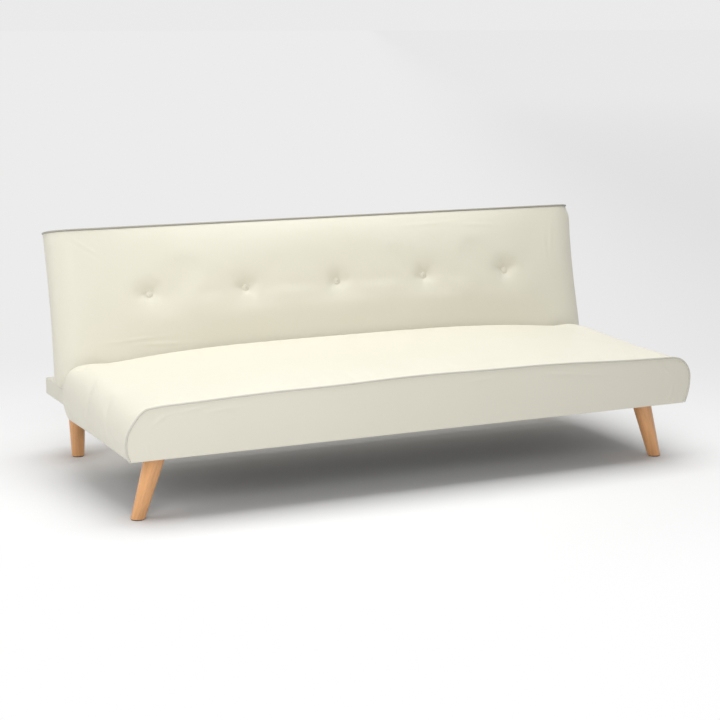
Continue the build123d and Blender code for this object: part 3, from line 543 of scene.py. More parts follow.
def seat_slack(x, z, depth):
    """The sewn seat's own give: a soft left front corner, full rear corners and an uneven front seam."""
    soft = (1 - ease(depth, 0, 0.6)) * bell(x, -0.885, 0.055) * bell(z, 0.296, 0.062)
    full = ease(depth, 0.3, 1.0) * bell(abs(x), 0.85, 0.075) * ease(z, 0.26, 0.31)
    seam = (1 - ease(depth, 0, 0.12)) * ease(z, 0.30, 0.325)
    seam *= 0.0014 * math.sin(5.1 * x + 0.7) + 0.001 * math.sin(13.7 * x + 2.1)
    return x + 0.016 * soft + math.copysign(0.004 * full, x), z - 0.012 * soft + 0.015 * full + seam


def back_slack(x, forward, up):
    """The sewn backrest's own give: sides that swell below the top seam, the right one more."""
    below = ease(BACK_LENGTH - up, 0, 0.04)
    side = ease(abs(x), 0.83, 0.88) * ease(forward, -0.052, -0.022)
    out = 0.012 + 0.006 * ease(0.32 - up, 0, 0.28) if x > 0 else 0.003
    return x + math.copysign(out * below * side, x), forward


def seat_line(depth):
    """The seat's section at a share of its depth, from the right hem to the left one."""
    width = SEAT_WIDTH - DRAWN_IN * math.sin(math.pi * depth)
    rise = SEAT_RISE + 0.083 * depth - 0.058 * depth**2
    rise -= sizes().seat_start * math.sin(math.pi * min(1, depth * 1.1))
    power = 2 + (sizes().seat_fullness - 2) * min(1, depth * 3)
    return [seat_slack(x, z, depth) for x, z in seat_arch(width, rise, power)]


def back_crown():
    """Shares of the crown for the backrest's columns, with columns on both sides of the hinge gap."""
    edge = half_back_arch(BACK_WIDTH, BACK_FOOT_RISE, crown=[1.0])[-1][0]
    gap = [x / edge for x in (NOTCH_X[1], sum(NOTCH_X) / 2, NOTCH_X[0])]
    inner = [gap[-1] * (1 - step / BACK_CROWN_STEPS) for step in range(1, BACK_CROWN_STEPS + 1)]
    return [1.0, *gap, *inner]


def back_line(up):
    """The backrest's section at a height above the hinge."""
    if up < FULLEST_UP:
        rise = BACK_FOOT_RISE + (BACK_FULL_RISE - BACK_FOOT_RISE) * ease(up, 0.02, 0.21)
    else:
        fall = (up - FULLEST_UP) / (BACK_LENGTH - FULLEST_UP)
        rise = BACK_TOP_RISE + (BACK_FULL_RISE - BACK_TOP_RISE) * (1 - fall**2.2)
    swell = math.sin(math.pi * min(1, max(0, up / BACK_LENGTH)))
    rise = max(BACK_TOP_RISE, rise - sizes().back_start * swell)
    half = half_back_arch(BACK_WIDTH - DRAWN_IN * swell, rise, 2 + 1.2 * swell, back_crown())
    return [back_slack(x, forward, up) for x, forward in both_halves(half)]


def tuft_pull(x, up):
    """How far the buttons pull a point of the backrest in, with short folds running out from each."""
    pull = 0.0
    reach = sizes().tuft_reach
    for spot_x, spot_up in BUTTON_SPOTS:
        away = math.hypot(0.8 * (x - spot_x), 1.2 * (up - spot_up))
        if away < 1.6 * reach:
            hollow = sizes().tuft_depth * math.exp(-2.6 * (away / reach) ** 1.5)
            turn = math.atan2(up - spot_up, x - spot_x)
            rays = math.cos(5 * turn + 7 * spot_x) + 0.6 * math.cos(3 * turn - 4 * spot_x + 1)
            fold = 0.0013 * rays * bell(away, 0.024, 0.014)
            pinch = 0.006 * bell(away, 0, 0.015)
            pull += hollow + pinch + fold
    return pull


def give(tree, node, inputs):
    """Gives a node its inputs: each follows a socket or holds a plain value."""
    for name, source in inputs.items():
        if isinstance(source, bpy.types.NodeSocket):
            tree.links.new(source, node.inputs[name])
        else:
            node.inputs[name].default_value = source


def add(tree, kind, inputs=None, **settings):
    """A new node with its settings and its inputs."""
    node = tree.nodes.new(kind)
    for name, value in settings.items():
        setattr(node, name, value)
    give(tree, node, inputs or {})
    return node


def noise(tree, place, scale, detail, **shape):
    inputs = {"Vector": place, "Scale": scale, "Detail": detail, **shape}
    return add(tree, "ShaderNodeTexNoise", inputs).outputs


def work_out(tree, operation, first, second, **settings):
    return add(tree, "ShaderNodeMath", {0: first, 1: second}, operation=operation, **settings).outputs[0]


def vector_work(tree, operation, first, second=(0, 0, 0)):
    return add(tree, "ShaderNodeVectorMath", {0: first, 1: second}, operation=operation).outputs


def remap(tree, value, start, stop, low=0.0, high=1.0, shape="LINEAR"):
    """A value between start and stop, taken to between low and high."""
    inputs = {"Value": value, "From Min": start, "From Max": stop, "To Min": low, "To Max": high}
    return add(tree, "ShaderNodeMapRange", inputs, interpolation_type=shape).outputs["Result"]


def blend(tree, share, first, second, kind="MIX"):
    """Two colours blended by a share."""
    inputs = {MIX_SHARE: share, MIX_FIRST: first, MIX_SECOND: second}
    return add(tree, "ShaderNodeMix", inputs, data_type="RGBA", blend_type=kind).outputs[MIX_RESULT]


def ramp(tree, source, stops):
    """A colour ramp from stops of place and colour."""
    node = add(tree, "ShaderNodeValToRGB", {"Fac": source})
    while len(node.color_ramp.elements) < len(stops):
        node.color_ramp.elements.new(0.5)
    for element, (place, colour) in zip(node.color_ramp.elements, stops):
        element.position = place
        element.color = (*colour, 1)
    return node.outputs["Color"]


def group(name, values, outputs):
    """A shader node group that takes a vector and plain values and gives plain values."""
    made = bpy.data.node_groups.new(name, "ShaderNodeTree")
    made.interface.new_socket("Vector", in_out="INPUT", socket_type="NodeSocketVector")
    for label, value in values.items():
        socket = made.interface.new_socket(label, in_out="INPUT", socket_type="NodeSocketFloat")
        socket.default_value = value
    for label in outputs:
        made.interface.new_socket(label, in_out="OUTPUT", socket_type="NodeSocketFloat")
    return made, made.nodes.new("NodeGroupInput").outputs, made.nodes.new("NodeGroupOutput")


def leather_grain():
    """Pebbled leatherette: fine grain, soft creases and a slow drift of tone."""
    made, source, out = group(
        "Leatherette grain", {"Pebbles": 700.0, "Creases": 0.5}, ("Height", "Tone", "Polish")
    )
    vector = source["Vector"]
    bend = vector_work(made, "MULTIPLY", noise(made, vector, 90.0, 2.0)["Color"], (0.004, 0.004, 0.004))
    shifted = vector_work(made, "ADD", vector, bend["Vector"])["Vector"]
    cells = {"Vector": shifted, "Scale": source["Pebbles"]}
    pebble = add(made, "ShaderNodeTexVoronoi", cells, feature="DISTANCE_TO_EDGE")
    rounded = work_out(made, "POWER", pebble.outputs["Distance"], 0.5, use_clamp=True)
    folds = noise(made, vector, 26.0, 4.0, Roughness=0.55, Distortion=0.8)["Fac"]
    fold = work_out(made, "MULTIPLY", folds, source["Creases"])
    give(made, out, {
        "Height": work_out(made, "ADD", work_out(made, "MULTIPLY", rounded, 0.12), fold),
        "Tone": noise(made, vector, 2.2, 3.0, Roughness=0.5)["Fac"],
        "Polish": noise(made, vector, 9.0, 3.0)["Fac"],
    })


def wood_figure():
    """Straight-grained wood along Z: slow bands, short flecks and open pores."""
    made, source, out = group(
        "Wood figure", {"Bands": 60.0, "Flecks": 260.0}, ("Figure", "Fleck", "Height")
    )
    vector = source["Vector"]
    stretched = add(made, "ShaderNodeMapping", {"Vector": vector, "Scale": (1, 1, 0.06)}).outputs[0]
    short = add(made, "ShaderNodeMapping", {"Vector": vector, "Scale": (1, 1, 0.11)}).outputs[0]
    fleck = add(made, "ShaderNodeTexVoronoi", {"Vector": short, "Scale": source["Flecks"]})
    give(made, out, {
        "Figure": noise(made, stretched, source["Bands"], 4.0, Roughness=0.6, Distortion=0.6)["Fac"],
        "Fleck": remap(made, fleck.outputs["Distance"], 0.10, 0.30, 1.0, 0.0),
        "Height": noise(made, stretched, 900.0, 2.0)["Fac"],
    })


def speckle():
    """Fine uneven coating: mottled tone, tiny pits and rubbed edges."""
    made, source, out = group(
        "Coating speckle", {"Grain": 900.0, "Patch": 35.0}, ("Tone", "Height", "Wear")
    )
    patch = noise(made, source["Vector"], source["Patch"], 5.0, Roughness=0.6)["Fac"]
    edge = remap(made, add(made, "ShaderNodeNewGeometry").outputs["Pointiness"], 0.53, 0.60)
    give(made, out, {
        "Tone": patch,
        "Height": noise(made, source["Vector"], source["Grain"], 2.0)["Fac"],
        "Wear": work_out(made, "MULTIPLY", edge, patch),
    })


def weave():
    """Pressed or woven fibres: crossing threads, loose fibres and a slow drift."""
    made, source, out = group("Fibre weave", {"Threads": 500.0}, ("Height", "Tone"))
    threads = {"Vector": source["Vector"], "Scale": source["Threads"], "Distortion": 1.5, "Detail": 1.0}
    warp, weft = (
        add(made, "ShaderNodeTexWave", threads, bands_direction=axis).outputs["Fac"] for axis in ("X", "Y")
    )
    over = work_out(made, "MAXIMUM", warp, weft)
    loose = noise(made, source["Vector"], 140.0, 6.0, Roughness=0.7)["Fac"]
    give(made, out, {"Height": work_out(made, "MULTIPLY", over, loose), "Tone": loose})


def finish(name):
    """A new material with its shader and the piece's own coordinates."""
    material = bpy.data.materials.new(name)
    material.use_nodes = True
    tree = material.node_tree
    return material, tree, tree.nodes["Principled BSDF"], add(tree, "ShaderNodeTexCoord").outputs["Object"]


def effect(tree, name, inputs):
    """One of the shared groups, placed in a material with its own inputs."""
    return add(tree, "ShaderNodeGroup", inputs, node_tree=bpy.data.node_groups[name]).outputs


def raised(tree, height, distance):
    """The normal of a surface raised by a height."""
    inputs = {"Height": height, "Distance": distance, "Strength": 1.0}
    return add(tree, "ShaderNodeBump", inputs).outputs["Normal"]


def tint(colour, factor):
    return tuple(min(1.0, part * factor) for part in colour)


def leatherette_finish(name, base, creases=0.5):
    tree, shader, place = finish(name)[1:]
    grain = effect(tree, "Leatherette grain", {"Vector": place, "Pebbles": 700.0, "Creases": creases})
    warm = tuple(part * factor for part, factor in zip(base, (0.985, 0.98, 0.965)))
    give(tree, shader, {
        "Base Color": ramp(tree, grain["Tone"], [(0.3, warm), (0.7, tuple(base))]),
        "Roughness": remap(tree, grain["Polish"], 0.3, 0.7, 0.38, 0.5),
        "Specular IOR Level": 0.35,
        "Normal": raised(tree, grain["Height"], 0.0011),
    })


def beech_finish(name, lean):
    """Varnished beech with its grain along a leg that leans sideways by the given degrees."""
    tree, shader, place = finish(name)[1:]
    turn = {"Vector": place, "Rotation": (0, math.radians(lean), 0)}
    turned = add(tree, "ShaderNodeMapping", turn).outputs[0]
    wood = effect(tree, "Wood figure", {"Vector": turned, "Bands": 75.0, "Flecks": 420.0})
    base = colours().beech
    bands = [(0.25, tint(base, 0.74)), (0.5, tuple(base)), (0.76, tint(base, 1.22))]
    colour = ramp(tree, wood["Figure"], bands)
    faint = work_out(tree, "MULTIPLY", wood["Fleck"], 0.30)
    give(tree, shader, {
        "Base Color": blend(tree, faint, colour, (0.62, 0.46, 0.32, 1), "MULTIPLY"),
        "Roughness": remap(tree, wood["Figure"], 0.0, 1.0, 0.30, 0.44),
        "Coat Weight": 0.25,
        "Coat Roughness": 0.22,
        "Normal": raised(tree, wood["Height"], 0.00015),
    })


def timber_finish(name, axis, factor=1.0, flecks=200.0):
    """Sawn timber with its grain along an axis."""
    tree, shader, place = finish(name)[1:]
    turn = {"X": (0, math.radians(90), 0), "Y": (math.radians(90), 0, 0), "Z": (0, 0, 0)}[axis]
    turned = add(tree, "ShaderNodeMapping", {"Vector": place, "Rotation": turn}).outputs[0]
    wood = effect(tree, "Wood figure", {"Vector": turned, "Bands": 48.0, "Flecks": flecks})
    base = tint(colours().timber, factor)
    bands = [(0.25, tint(base, 0.72)), (0.55, base), (0.8, tint(base, 1.18))]
    give(tree, shader, {
        "Base Color": ramp(tree, wood["Figure"], bands),
        "Roughness": remap(tree, wood["Fleck"], 0.0, 1.0, 0.62, 0.8),
        "Normal": raised(tree, wood["Height"], 0.0004),
    })


def metal_finish(name, base, metallic, rough, worn, grain=900.0, depth=0.00008):
    """Plated or coated metal, or plastic, with a worn colour on its edges."""
    tree, shader, place = finish(name)[1:]
    coat = effect(tree, "Coating speckle", {"Vector": place, "Grain": grain, "Patch": 45.0})
    colour = ramp(tree, coat["Tone"], [(0.3, tint(base, 0.8)), (0.7, tint(base, 1.12))])
    give(tree, shader, {
        "Base Color": blend(tree, coat["Wear"], colour, (*worn, 1)),
        "Roughness": remap(tree, coat["Tone"], 0.0, 1.0, rough - 0.08, rough + 0.1),
        "Metallic": metallic,
        "Normal": raised(tree, coat["Height"], depth),
    })


def fibre_finish(name, base, threads, depth, rough=0.92):
    tree, shader, place = finish(name)[1:]
    cloth = effect(tree, "Fibre weave", {"Vector": place, "Threads": threads})
    give(tree, shader, {
        "Base Color": ramp(tree, cloth["Tone"], [(0.3, tint(base, 0.7)), (0.7, tint(base, 1.2))]),
        "Roughness": rough,
        "Specular IOR Level": 0.2,
        "Normal": raised(tree, cloth["Height"], depth),
    })


class SOFA_OT_finishes(bpy.types.Operator):
    """Mix the finishes that the pieces share"""

    bl_idname = "sofa.finishes"
    bl_label = "Mix finishes"

    def execute(self, context):
        leather_grain()
        wood_figure()
        speckle()
        weave()
        leatherette_finish("upholstery_leatherette", colours().leatherette)
        # The welts wear darkened copies of the leatherette: painted shade of their seams
        leatherette_finish("seat_welt_painted_shade", colours().seat_welt, creases=0.2)
        leatherette_finish("back_welt_painted_shade", colours().back_welt, creases=0.2)
        # The buttons wear the leatherette darkened to 0.96: painted shade for the hollows they sit in
        leatherette_finish("button_leatherette_painted_shade", tint(colours().leatherette, 0.96), creases=0.2)
        beech_finish("beech_front_left", -LEG_LEAN)
        beech_finish("beech_front_right", LEG_LEAN)
        beech_finish("beech_rear", 0)
        timber_finish("timber_across", "X")
        timber_finish("timber_deep", "Y")
        timber_finish("timber_upright", "Z")
        timber_finish("plywood", "X", factor=1.1, flecks=120.0)
        timber_finish("hardboard", "Z", factor=0.55, flecks=600.0)
        metal_finish(
            "black_hinge_steel", colours().steel, metallic=0.0, rough=0.45, worn=(0.16, 0.16, 0.165),
            grain=1400.0, depth=0.00012,
        )
        metal_finish("zinc_plate", colours().zinc, metallic=1.0, rough=0.34, worn=(0.75, 0.75, 0.74))
        metal_finish(
            "glide_plastic_dark", (0.035, 0.033, 0.03), metallic=0.0, rough=0.55, worn=(0.09, 0.085, 0.08),
            grain=1100.0, depth=0.0001,
        )
        fibre_finish("spun_dust_cloth", (0.045, 0.044, 0.043), threads=420.0, depth=0.0003)
        fibre_finish("pressed_felt", (0.30, 0.29, 0.28), threads=160.0, depth=0.0008)
        fibre_finish("waxed_twine", (0.62, 0.58, 0.48), threads=900.0, depth=0.0003, rough=0.7)
        return {"FINISHED"}


class SOFA_OT_seat(bpy.types.Operator):
    """Make the seat's padded cover from its crown down to the hems under the rails"""

    bl_idname = "sofa.seat"
    bl_label = "Seat cushion"

    def execute(self, context):
        front = SEAT_LOW.y
        depth = SEAT_HIGH.y - front
        rows = 50
        drops = 8
        seam_shares = [0.0, 0.008, 0.02]
        start = 0.036
        even_rows = rows - len(seam_shares)
        even_shares = [start + (1 - start) * step / (even_rows - 1) for step in range(even_rows)]
        shares = seam_shares + even_shares
        lines = [seat_line(share) for share in shares]
        half = len(lines[0]) // 2
        rear_marks = along(lines[-1][: half + 1])

        # The hem turns out from the side rail; the rear face closes down to a rim over the tail rails
        hem_z = DUST_LOW.z - CLEARANCE
        turn = [(RAIL_HIGH.x - 0.0005, hem_z), (0.863, 0.1852), (0.8745, 0.1806)]
        rim_x = 0.8525
        rim_z = TAIL_HIGH.z + 0.0016
        rim = [(rim_x, hem_z), (rim_x, rim_z), (0.0, rim_z)]
        tuck = 0.0012
        middle_column = len(turn) + half
        columns = 2 * middle_column + 1

        def place(column, row):
            mate = min(column, 2 * middle_column - column)
            sign = -1 if column > middle_column else 1
            part = (row - rows + 1) / drops
            y = front + depth * shares[min(row, rows - 1)]
            if mate < len(turn):
                x, z = turn[mate]
                if row >= rows:
                    x, z = Vector((x, z)).lerp(Vector(rim[0]), part)
                return Vector((sign * x, y, z))
            x, z = lines[min(row, rows - 1)][column - len(turn)]
            if row >= rows:
                inner_x, inner_z = walk(rim, rear_marks[mate - len(turn)])
                x, z = Vector((x, z)).lerp(Vector((sign * inner_x, inner_z)), part)
                y -= tuck * part
            return Vector((x, y, z))

        def sewn(column, row):
            hem = column <= len(turn) or column >= columns - len(turn) - 1
            return row == 0 or row >= rows - 1 or hem

        def outwards(middle):
            return Vector((middle.x * 0.2, 0, middle.z - 0.2))

        piece = grid("seat_cushion", columns, rows + drops, place)
        held = grid_points(piece, columns, sewn)
        settle(piece, held, outwards, pressure=3.0, cap=sizes().seat_swell, slack=0.004)
        refine(piece)
        crease(piece, lambda spot: (spot.x, spot.y), SEAT_FOLDS)
        thicken(piece, sizes().cover_depth)
        smooth(piece, SOFT_ANGLE)
        finish_piece(piece, "base", "seat_cover", "seat_foam", "seat_skirt_foam")
        return {"FINISHED"}


class SOFA_OT_front_panel(bpy.types.Operator):
    """Make the pillowed panel across the seat's front, turned under at its foot"""

    bl_idname = "sofa.front_panel"
    bl_label = "Front panel"

    def execute(self, context):
        arch = seat_arch(PANEL_WIDTH, PANEL_RISE, inset=SHOULDER_INSET)
        edge = [seat_slack(x, z, 0) for x, z in arch]
        hem = edge[0][0]
        marks = along(edge)
        columns = len(edge)
        rows = 26
        foot = PANEL_LOW.z + 0.0015
        fold = foot - 0.0009
        rail = RAIL_LOW.y - PANEL_LOW.y - 0.001
        turn = [(0.0012, -0.0006), (0.005, 0.0004), (0.016, 0.006), (rail, 0.0112)]

        def place(column, row):
            x, z = edge[column]
            low_x = hem * (1 - 2 * marks[column])
            part = min(1.0, row / (rows - 1))
            y = PANEL_LOW.y
            spot = Vector((x, y, max(z, foot))).lerp(Vector((low_x, y, foot)), part)
            if row >= rows:
                back, up = turn[row - rows]
                spot.y += back
                spot.z = fold + up
            return spot

        def sewn(column, row):
            return row == 0 or row >= rows - 1 or column in (0, columns - 1)

        piece = grid("seat_front_cover", columns, rows + len(turn), place)
        held = grid_points(piece, columns, sewn)
        settle(piece, held, lambda middle: Vector((0, -1, -0.3)), pressure=2.0, cap=sizes().panel_swell)
        refine(piece)
        crease(piece, lambda spot: (spot.x, spot.z), PANEL_FOLDS)
        thicken(piece, sizes().hide)
        smooth(piece, SOFT_ANGLE)
        finish_piece(piece, "base", "seat_front_panel")
        return {"FINISHED"}


def lay_welt(name, line, body, node, finish):
    """A welt along a seam: a round cord under its own strip of leatherette."""
    deselect()
    bpy.ops.curve.primitive_nurbs_path_add()
    curve = bpy.context.object.data
    spline = curve.splines[0]
    spline.points.add(len(line) - len(spline.points))
    for point, spot in zip(spline.points, line):
        point.co = (*spot, 1)
    spline.order_u = 3
    spline.use_endpoint_u = True
    spline.resolution_u = 2
    curve.bevel_depth = sizes().welt
    curve.bevel_resolution = 3
    curve.use_fill_caps = True
    bpy.ops.object.convert(target="MESH")
    piece = new_piece(name)
    close_seams(piece, 0.0001)
    smooth(piece, SOFT_ANGLE)
    finish_piece(piece, body, node, finish=finish)


class SOFA_OT_welts(bpy.types.Operator):
    """Lay the piping round the front panel and along the backrest's top seam"""

    bl_idname = "sofa.welts"
    bl_label = "Welts"

    def execute(self, context):
        foot = SEAT_LOW.z + 0.002
        arch = seat_arch(SEAT_WIDTH, SEAT_RISE, crown=COARSE_CROWN)
        front = [(x, PANEL_LOW.y, max(z, foot)) for x, z in (seat_slack(x, z, 0) for x, z in arch)]
        lay_welt("seat_welt", front, "base", "seat_piping", "seat_welt_painted_shade")
        arch = both_halves(half_back_arch(BACK_WIDTH, BACK_TOP_RISE, crown=COARSE_CROWN))
        top = [tuple(back_point(x, forward, BACK_LENGTH)) for x, forward in arch]
        lay_welt("back_welt", top, "backrest", "back_piping", "back_welt_painted_shade")
        return {"FINISHED"}


class SOFA_OT_back(bpy.types.Operator):
    """Make the backrest's padded cover, round under its foot and drawn in by five buttons"""

    bl_idname = "sofa.back"
    bl_label = "Backrest cushion"

    def execute(self, context):
        foot_rows = 15
        rise_rows = 42
        top = BACK_LENGTH - SEAM_GAP
        heights = [top * (step / rise_rows) for step in range(1, rise_rows - 1)]
        heights += [top - 0.011, top - 0.004, top]
        rows = foot_rows + len(heights)
        lines = [back_line(height) for height in heights]
        foot = back_line(0.0)
        columns = len(foot)
        hem = foot[0][0]

        def place(column, row):
            if row < foot_rows:
                x, forward = foot[column]
                closing = math.sin(math.pi / 2 * row / (foot_rows - 1))
                x = math.copysign(min(abs(x), hem) + max(0, abs(x) - hem) * closing, x)
                middle = (forward + BACK_BASE) / 2
                radius = (forward - BACK_BASE) / 2
                angle = math.pi * (1 + row / (foot_rows - 1))
                return back_point(x, middle + radius * math.cos(angle), radius * math.sin(angle))
            height = heights[row - foot_rows]
            x, forward = lines[row - foot_rows][column]
            return back_point(x, forward - tuft_pull(x, height) * (forward > 0), height)

        def by_button(column, row):
            x, up = lines[row - foot_rows][column][0], heights[row - foot_rows]
            return any(math.hypot(x - spot_x, up - spot_up) < 0.012 for spot_x, spot_up in BUTTON_SPOTS)

        def sewn(column, row):
            if row in (0, rows - 1) or column in (0, columns - 1):
                return True
            if row >= foot_rows:
                return by_button(column, row)
            return NOTCH_X[0] - 0.002 < abs(foot[column][0]) < NOTCH_X[1] + 0.002

        def outwards(middle):
            return middle - back_point(middle.x * 0.97, -0.03, 0.2)

        def room(spot):
            return 0.002 if spot.z < PIVOT_Z + 0.01 else 1.0

        def in_notch(middle):
            low = middle.z < PIVOT_Z + NOTCH_ROOM
            behind = middle.y > PIVOT_Y - NOTCH_FRONT * math.cos(TILT) - NOTCH_ROOM
            return NOTCH_X[0] < abs(middle.x) < NOTCH_X[1] and low and behind

        piece = grid("back_cushion", columns, rows, place)
        held = grid_points(piece, columns, sewn)
        settle(piece, held, outwards, pressure=0.7, cap=sizes().back_swell, room=room)
        cut_faces(piece, in_notch)
        close_seams(piece)
        turn_out(piece, outwards)
        refine(piece)
        crease(piece, lambda spot: (spot.x, back_up(spot)), BACK_FOLDS)
        thicken(piece, sizes().cover_depth)
        smooth(piece, SOFT_ANGLE)
        finish_piece(piece, "backrest", "back_cover", "back_foam", "back_edge_foam")
        return {"FINISHED"}


class SOFA_OT_back_panels(bpy.types.Operator):
    """Stretch the panels over the backrest's rear and its top end"""

    bl_idname = "sofa.back_panels"
    bl_label = "Backrest panels"

    def execute(self, context):
        self.rear_panel()
        self.end_panel()
        return {"FINISHED"}

    def rear_panel(self):
        side = 0.8795
        top = 0.4215
        steps = 18
        middle = 0.77
        middle_steps = 70
        edges = [NOTCH_X[0], NOTCH_X[1], 0.84, 0.86, side]
        xs = [-x for x in reversed(edges)]
        xs += [-middle + 2 * middle * step / middle_steps for step in range(middle_steps + 1)]
        xs += edges
        ups = [0.0008, 0.017, 0.033]
        ups += [NOTCH_TOP + (top - NOTCH_TOP) * step / steps for step in range(steps + 1)]

        def place(column, row):
            x, up = xs[column], ups[row]
            pillow = 0.0011 * (1 - (x / side) ** 8) * math.sin(math.pi * up / top) ** 0.7
            ripple = 0.0003 * math.sin(23 * x + 9 * up) * math.sin(31 * up + 5 * x)
            return back_point(x, BACK_BASE - 0.0004 - pillow - ripple, up)

        piece = grid("back_rear_cover", len(xs), len(ups), place)
        turn_out(piece, lambda middle: Vector((0, 1, 0)))
        corner = back_point(0, BACK_BASE, NOTCH_TOP).z - 0.003
        cut_faces(piece, lambda middle: NOTCH_X[0] < abs(middle.x) < NOTCH_X[1] and middle.z < corner)
        thicken(piece, sizes().hide)
        smooth(piece)
        finish_piece(piece, "backrest", "back_rear_panel")

    def end_panel(self):
        edge = both_halves(half_back_arch(BACK_END_WIDTH, BACK_TOP_RISE, inset=SHOULDER_INSET))
        marks = along(edge)
        hem = edge[0][0]
        rows = 8

        def place(column, row):
            part = row / (rows - 1)
            x, forward = edge[column]
            low_x = hem * (1 - 2 * marks[column])
            spot = Vector((x, forward)).lerp(Vector((low_x, BACK_BASE)), part)
            swell = 0.003 * math.sin(math.pi * part) * min(1, (hem - abs(spot.x)) / 0.03 + 0.1)
            return back_point(spot.x, spot.y, BACK_LENGTH - 0.0005 + max(0, swell))

        def upwards(middle):
            return Vector((0, 0, 1))

        piece = grid("back_end_cover", len(edge), rows, place)
        turn_out(piece, upwards)
        close_seams(piece)
        turn_out(piece, upwards)
        refine(piece)
        thicken(piece, sizes().hide)
        smooth(piece, SOFT_ANGLE)
        finish_piece(piece, "backrest", "back_end_panel")


class SOFA_OT_buttons(bpy.types.Operator):
    """Cover the five buttons: a pleated dome with a tucked rim"""

    bl_idname = "sofa.buttons"
    bl_label = "Buttons"

    def execute(self, context):
        radius = sizes().button
        button = self.dome(radius)
        facing = Matrix.Rotation(math.pi / 2 - TILT, 4, "X")
        copies = []
        for x, up in BUTTON_SPOTS:
            section = back_line(up)
            forward = min(section, key=lambda spot: abs(spot[0] - x) + 10 * (spot[1] < 0))[1]
            take(button)
            bpy.ops.object.duplicate(linked=False)
            copy = bpy.context.object
            spot = back_point(x, forward - tuft_pull(x, up) + BUTTON_PROUD, up)
            copy.data.transform(Matrix.Translation(spot) @ facing)
            copies.append(copy)
        deselect()
        bpy.data.objects.remove(button)
        for copy in copies:
            copy.select_set(True)
        bpy.context.view_layer.objects.active = copies[0]
        bpy.ops.object.join()
        piece = new_piece("back_buttons_covered")
        smooth(piece, 50)
        finish_piece(piece, "backrest", "back_buttons", finish="button_leatherette_painted_shade")
        return {"FINISHED"}

    def dome(self, radius):
        """One button at the origin, facing up."""
        deselect()
        bpy.ops.mesh.primitive_uv_sphere_add(segments=48, ring_count=20, radius=radius)
        button = new_piece("back_buttons_covered")
        cut_faces(button, lambda middle: middle.z < -0.3 * radius)
        pick(button, "EDGE", lambda middle: False)
        bpy.ops.mesh.select_non_manifold()
        bpy.ops.mesh.extrude_region_move(TRANSFORM_OT_translate={"value": (0, 0, -0.25 * radius)})
        bpy.ops.transform.resize(value=(0.72, 0.72, 1))
        bpy.ops.mesh.edge_face_add()
        bpy.ops.object.mode_set(mode="OBJECT")
        for point in button.data.vertices:
            out = math.hypot(point.co.x, point.co.y) / radius
            turn = math.atan2(point.co.y, point.co.x)
            pleat = 1 + 0.018 * math.cos(16 * turn) * max(0, out - 0.55) / 0.45
            point.co.x *= pleat
            point.co.y *= pleat
            point.co.z *= 0.36 if point.co.z > 0 else 0.8
        close_seams(button, 0.00005)
        return button


def at(value, target):
    return abs(value - target) < 1e-4


def wrap(name, start, grow, skirts, node):
    """Leatherette folded over a rail: a top grown from corner points, skirts pulled down, edges softened."""
    depth = TAIL_HIGH.z - RAIL_LOW.z
    deselect()
    bpy.ops.mesh.primitive_plane_add(size=1)
    piece = new_piece(name)
    for point, spot in zip(piece.data.vertices, start):
        point.co = spot
    for test, move in grow:
        pull_edges(piece, test, move)
    close_seams(piece)
    turn_out(piece, lambda middle: Vector((0, 0, 1)))
    pull_edges(piece, lambda middle: any(test(middle) for test in skirts), (0, 0, -depth))
    close_seams(piece)
    turn_out(piece, lambda middle: Vector((0, 0, at(middle.z, TAIL_HIGH.z))))
    use(piece, "BEVEL", width=WRAP_ROUND, segments=3, limit_method="ANGLE", angle_limit=math.radians(40))
    thicken(piece, sizes().hide, use_even_offset=True)
    smooth(piece)
    finish_piece(piece, "base", node)


class SOFA_OT_rail_covers(bpy.types.Operator):
    """Fold leatherette over the rails behind the seat and over the seat's rear rail"""

    bl_idname = "sofa.rail_covers"
    bl_label = "Rail covers"

    def execute(self, context):
        self.tail_wraps()
        front, rear = BAND_LOW.y, BAND_HIGH.y
        start = [(x, y, TAIL_HIGH.z) for y in (front, rear) for x in (BAND_LOW.x, BAND_HIGH.x)]
        skirts = [lambda middle: at(middle.y, front), lambda middle: at(middle.y, rear)]
        wrap("rear_rail_wrap", start, [], skirts, "rear_rail_cover")
        self.apron()
        return {"FINISHED"}

    def tail_wraps(self):
        inner = RAIL_LOW.x - sizes().hide
        outer = TAIL_HIGH.x
        begin, end = TAIL_LOW.y, TAIL_HIGH.y
        block = BLOCK_FRONT - sizes().hide
        bracket = BRACKET_REAR
        slip = 0.001
        skirts = [
            lambda middle: at(abs(middle.x), outer),
            lambda middle: at(middle.y, end),
            lambda middle: at(abs(middle.x), inner) and bracket + slip < middle.y < block - slip,
            lambda middle: at(middle.y, block) and abs(middle.x) < inner - slip,
        ]
        for side, sign in (("left", -1), ("right", 1)):
            start = [(sign * x, y, TAIL_HIGH.z) for y in (begin, bracket) for x in (inner, outer)]
            inwards = sign * (TAIL_LOW.x - inner)
            grow = [
                (lambda middle: at(middle.y, bracket), (0, block - bracket, 0)),
                (lambda middle: at(middle.y, block), (0, end - block, 0)),
                (lambda middle: middle.y > block + slip and at(abs(middle.x), inner), (inwards, 0, 0)),
            ]
            wrap(f"tail_wrap_{side}", start, grow, skirts, f"tail_cover_{side}")

    def apron(self):
        low, high = DUST_LOW.z - CLEARANCE, TAIL_HIGH.z + 0.0014
        reach = RAIL_LOW.x - 0.002
        columns, rows = 80, 8

        def place(column, row):
            x = -reach + 2 * reach * column / (columns - 1)
            z = low + (high - low) * row / (rows - 1)
            return Vector((x, SEAT_HIGH.y - CLEARANCE + 0.0003 * math.sin(40 * x), z))

        piece = grid("seat_rear_apron", columns, rows, place)
        turn_out(piece, lambda middle: Vector((0, 1, 0)))
        thicken(piece, sizes().hide)
        smooth(piece)
        finish_piece(piece, "base")


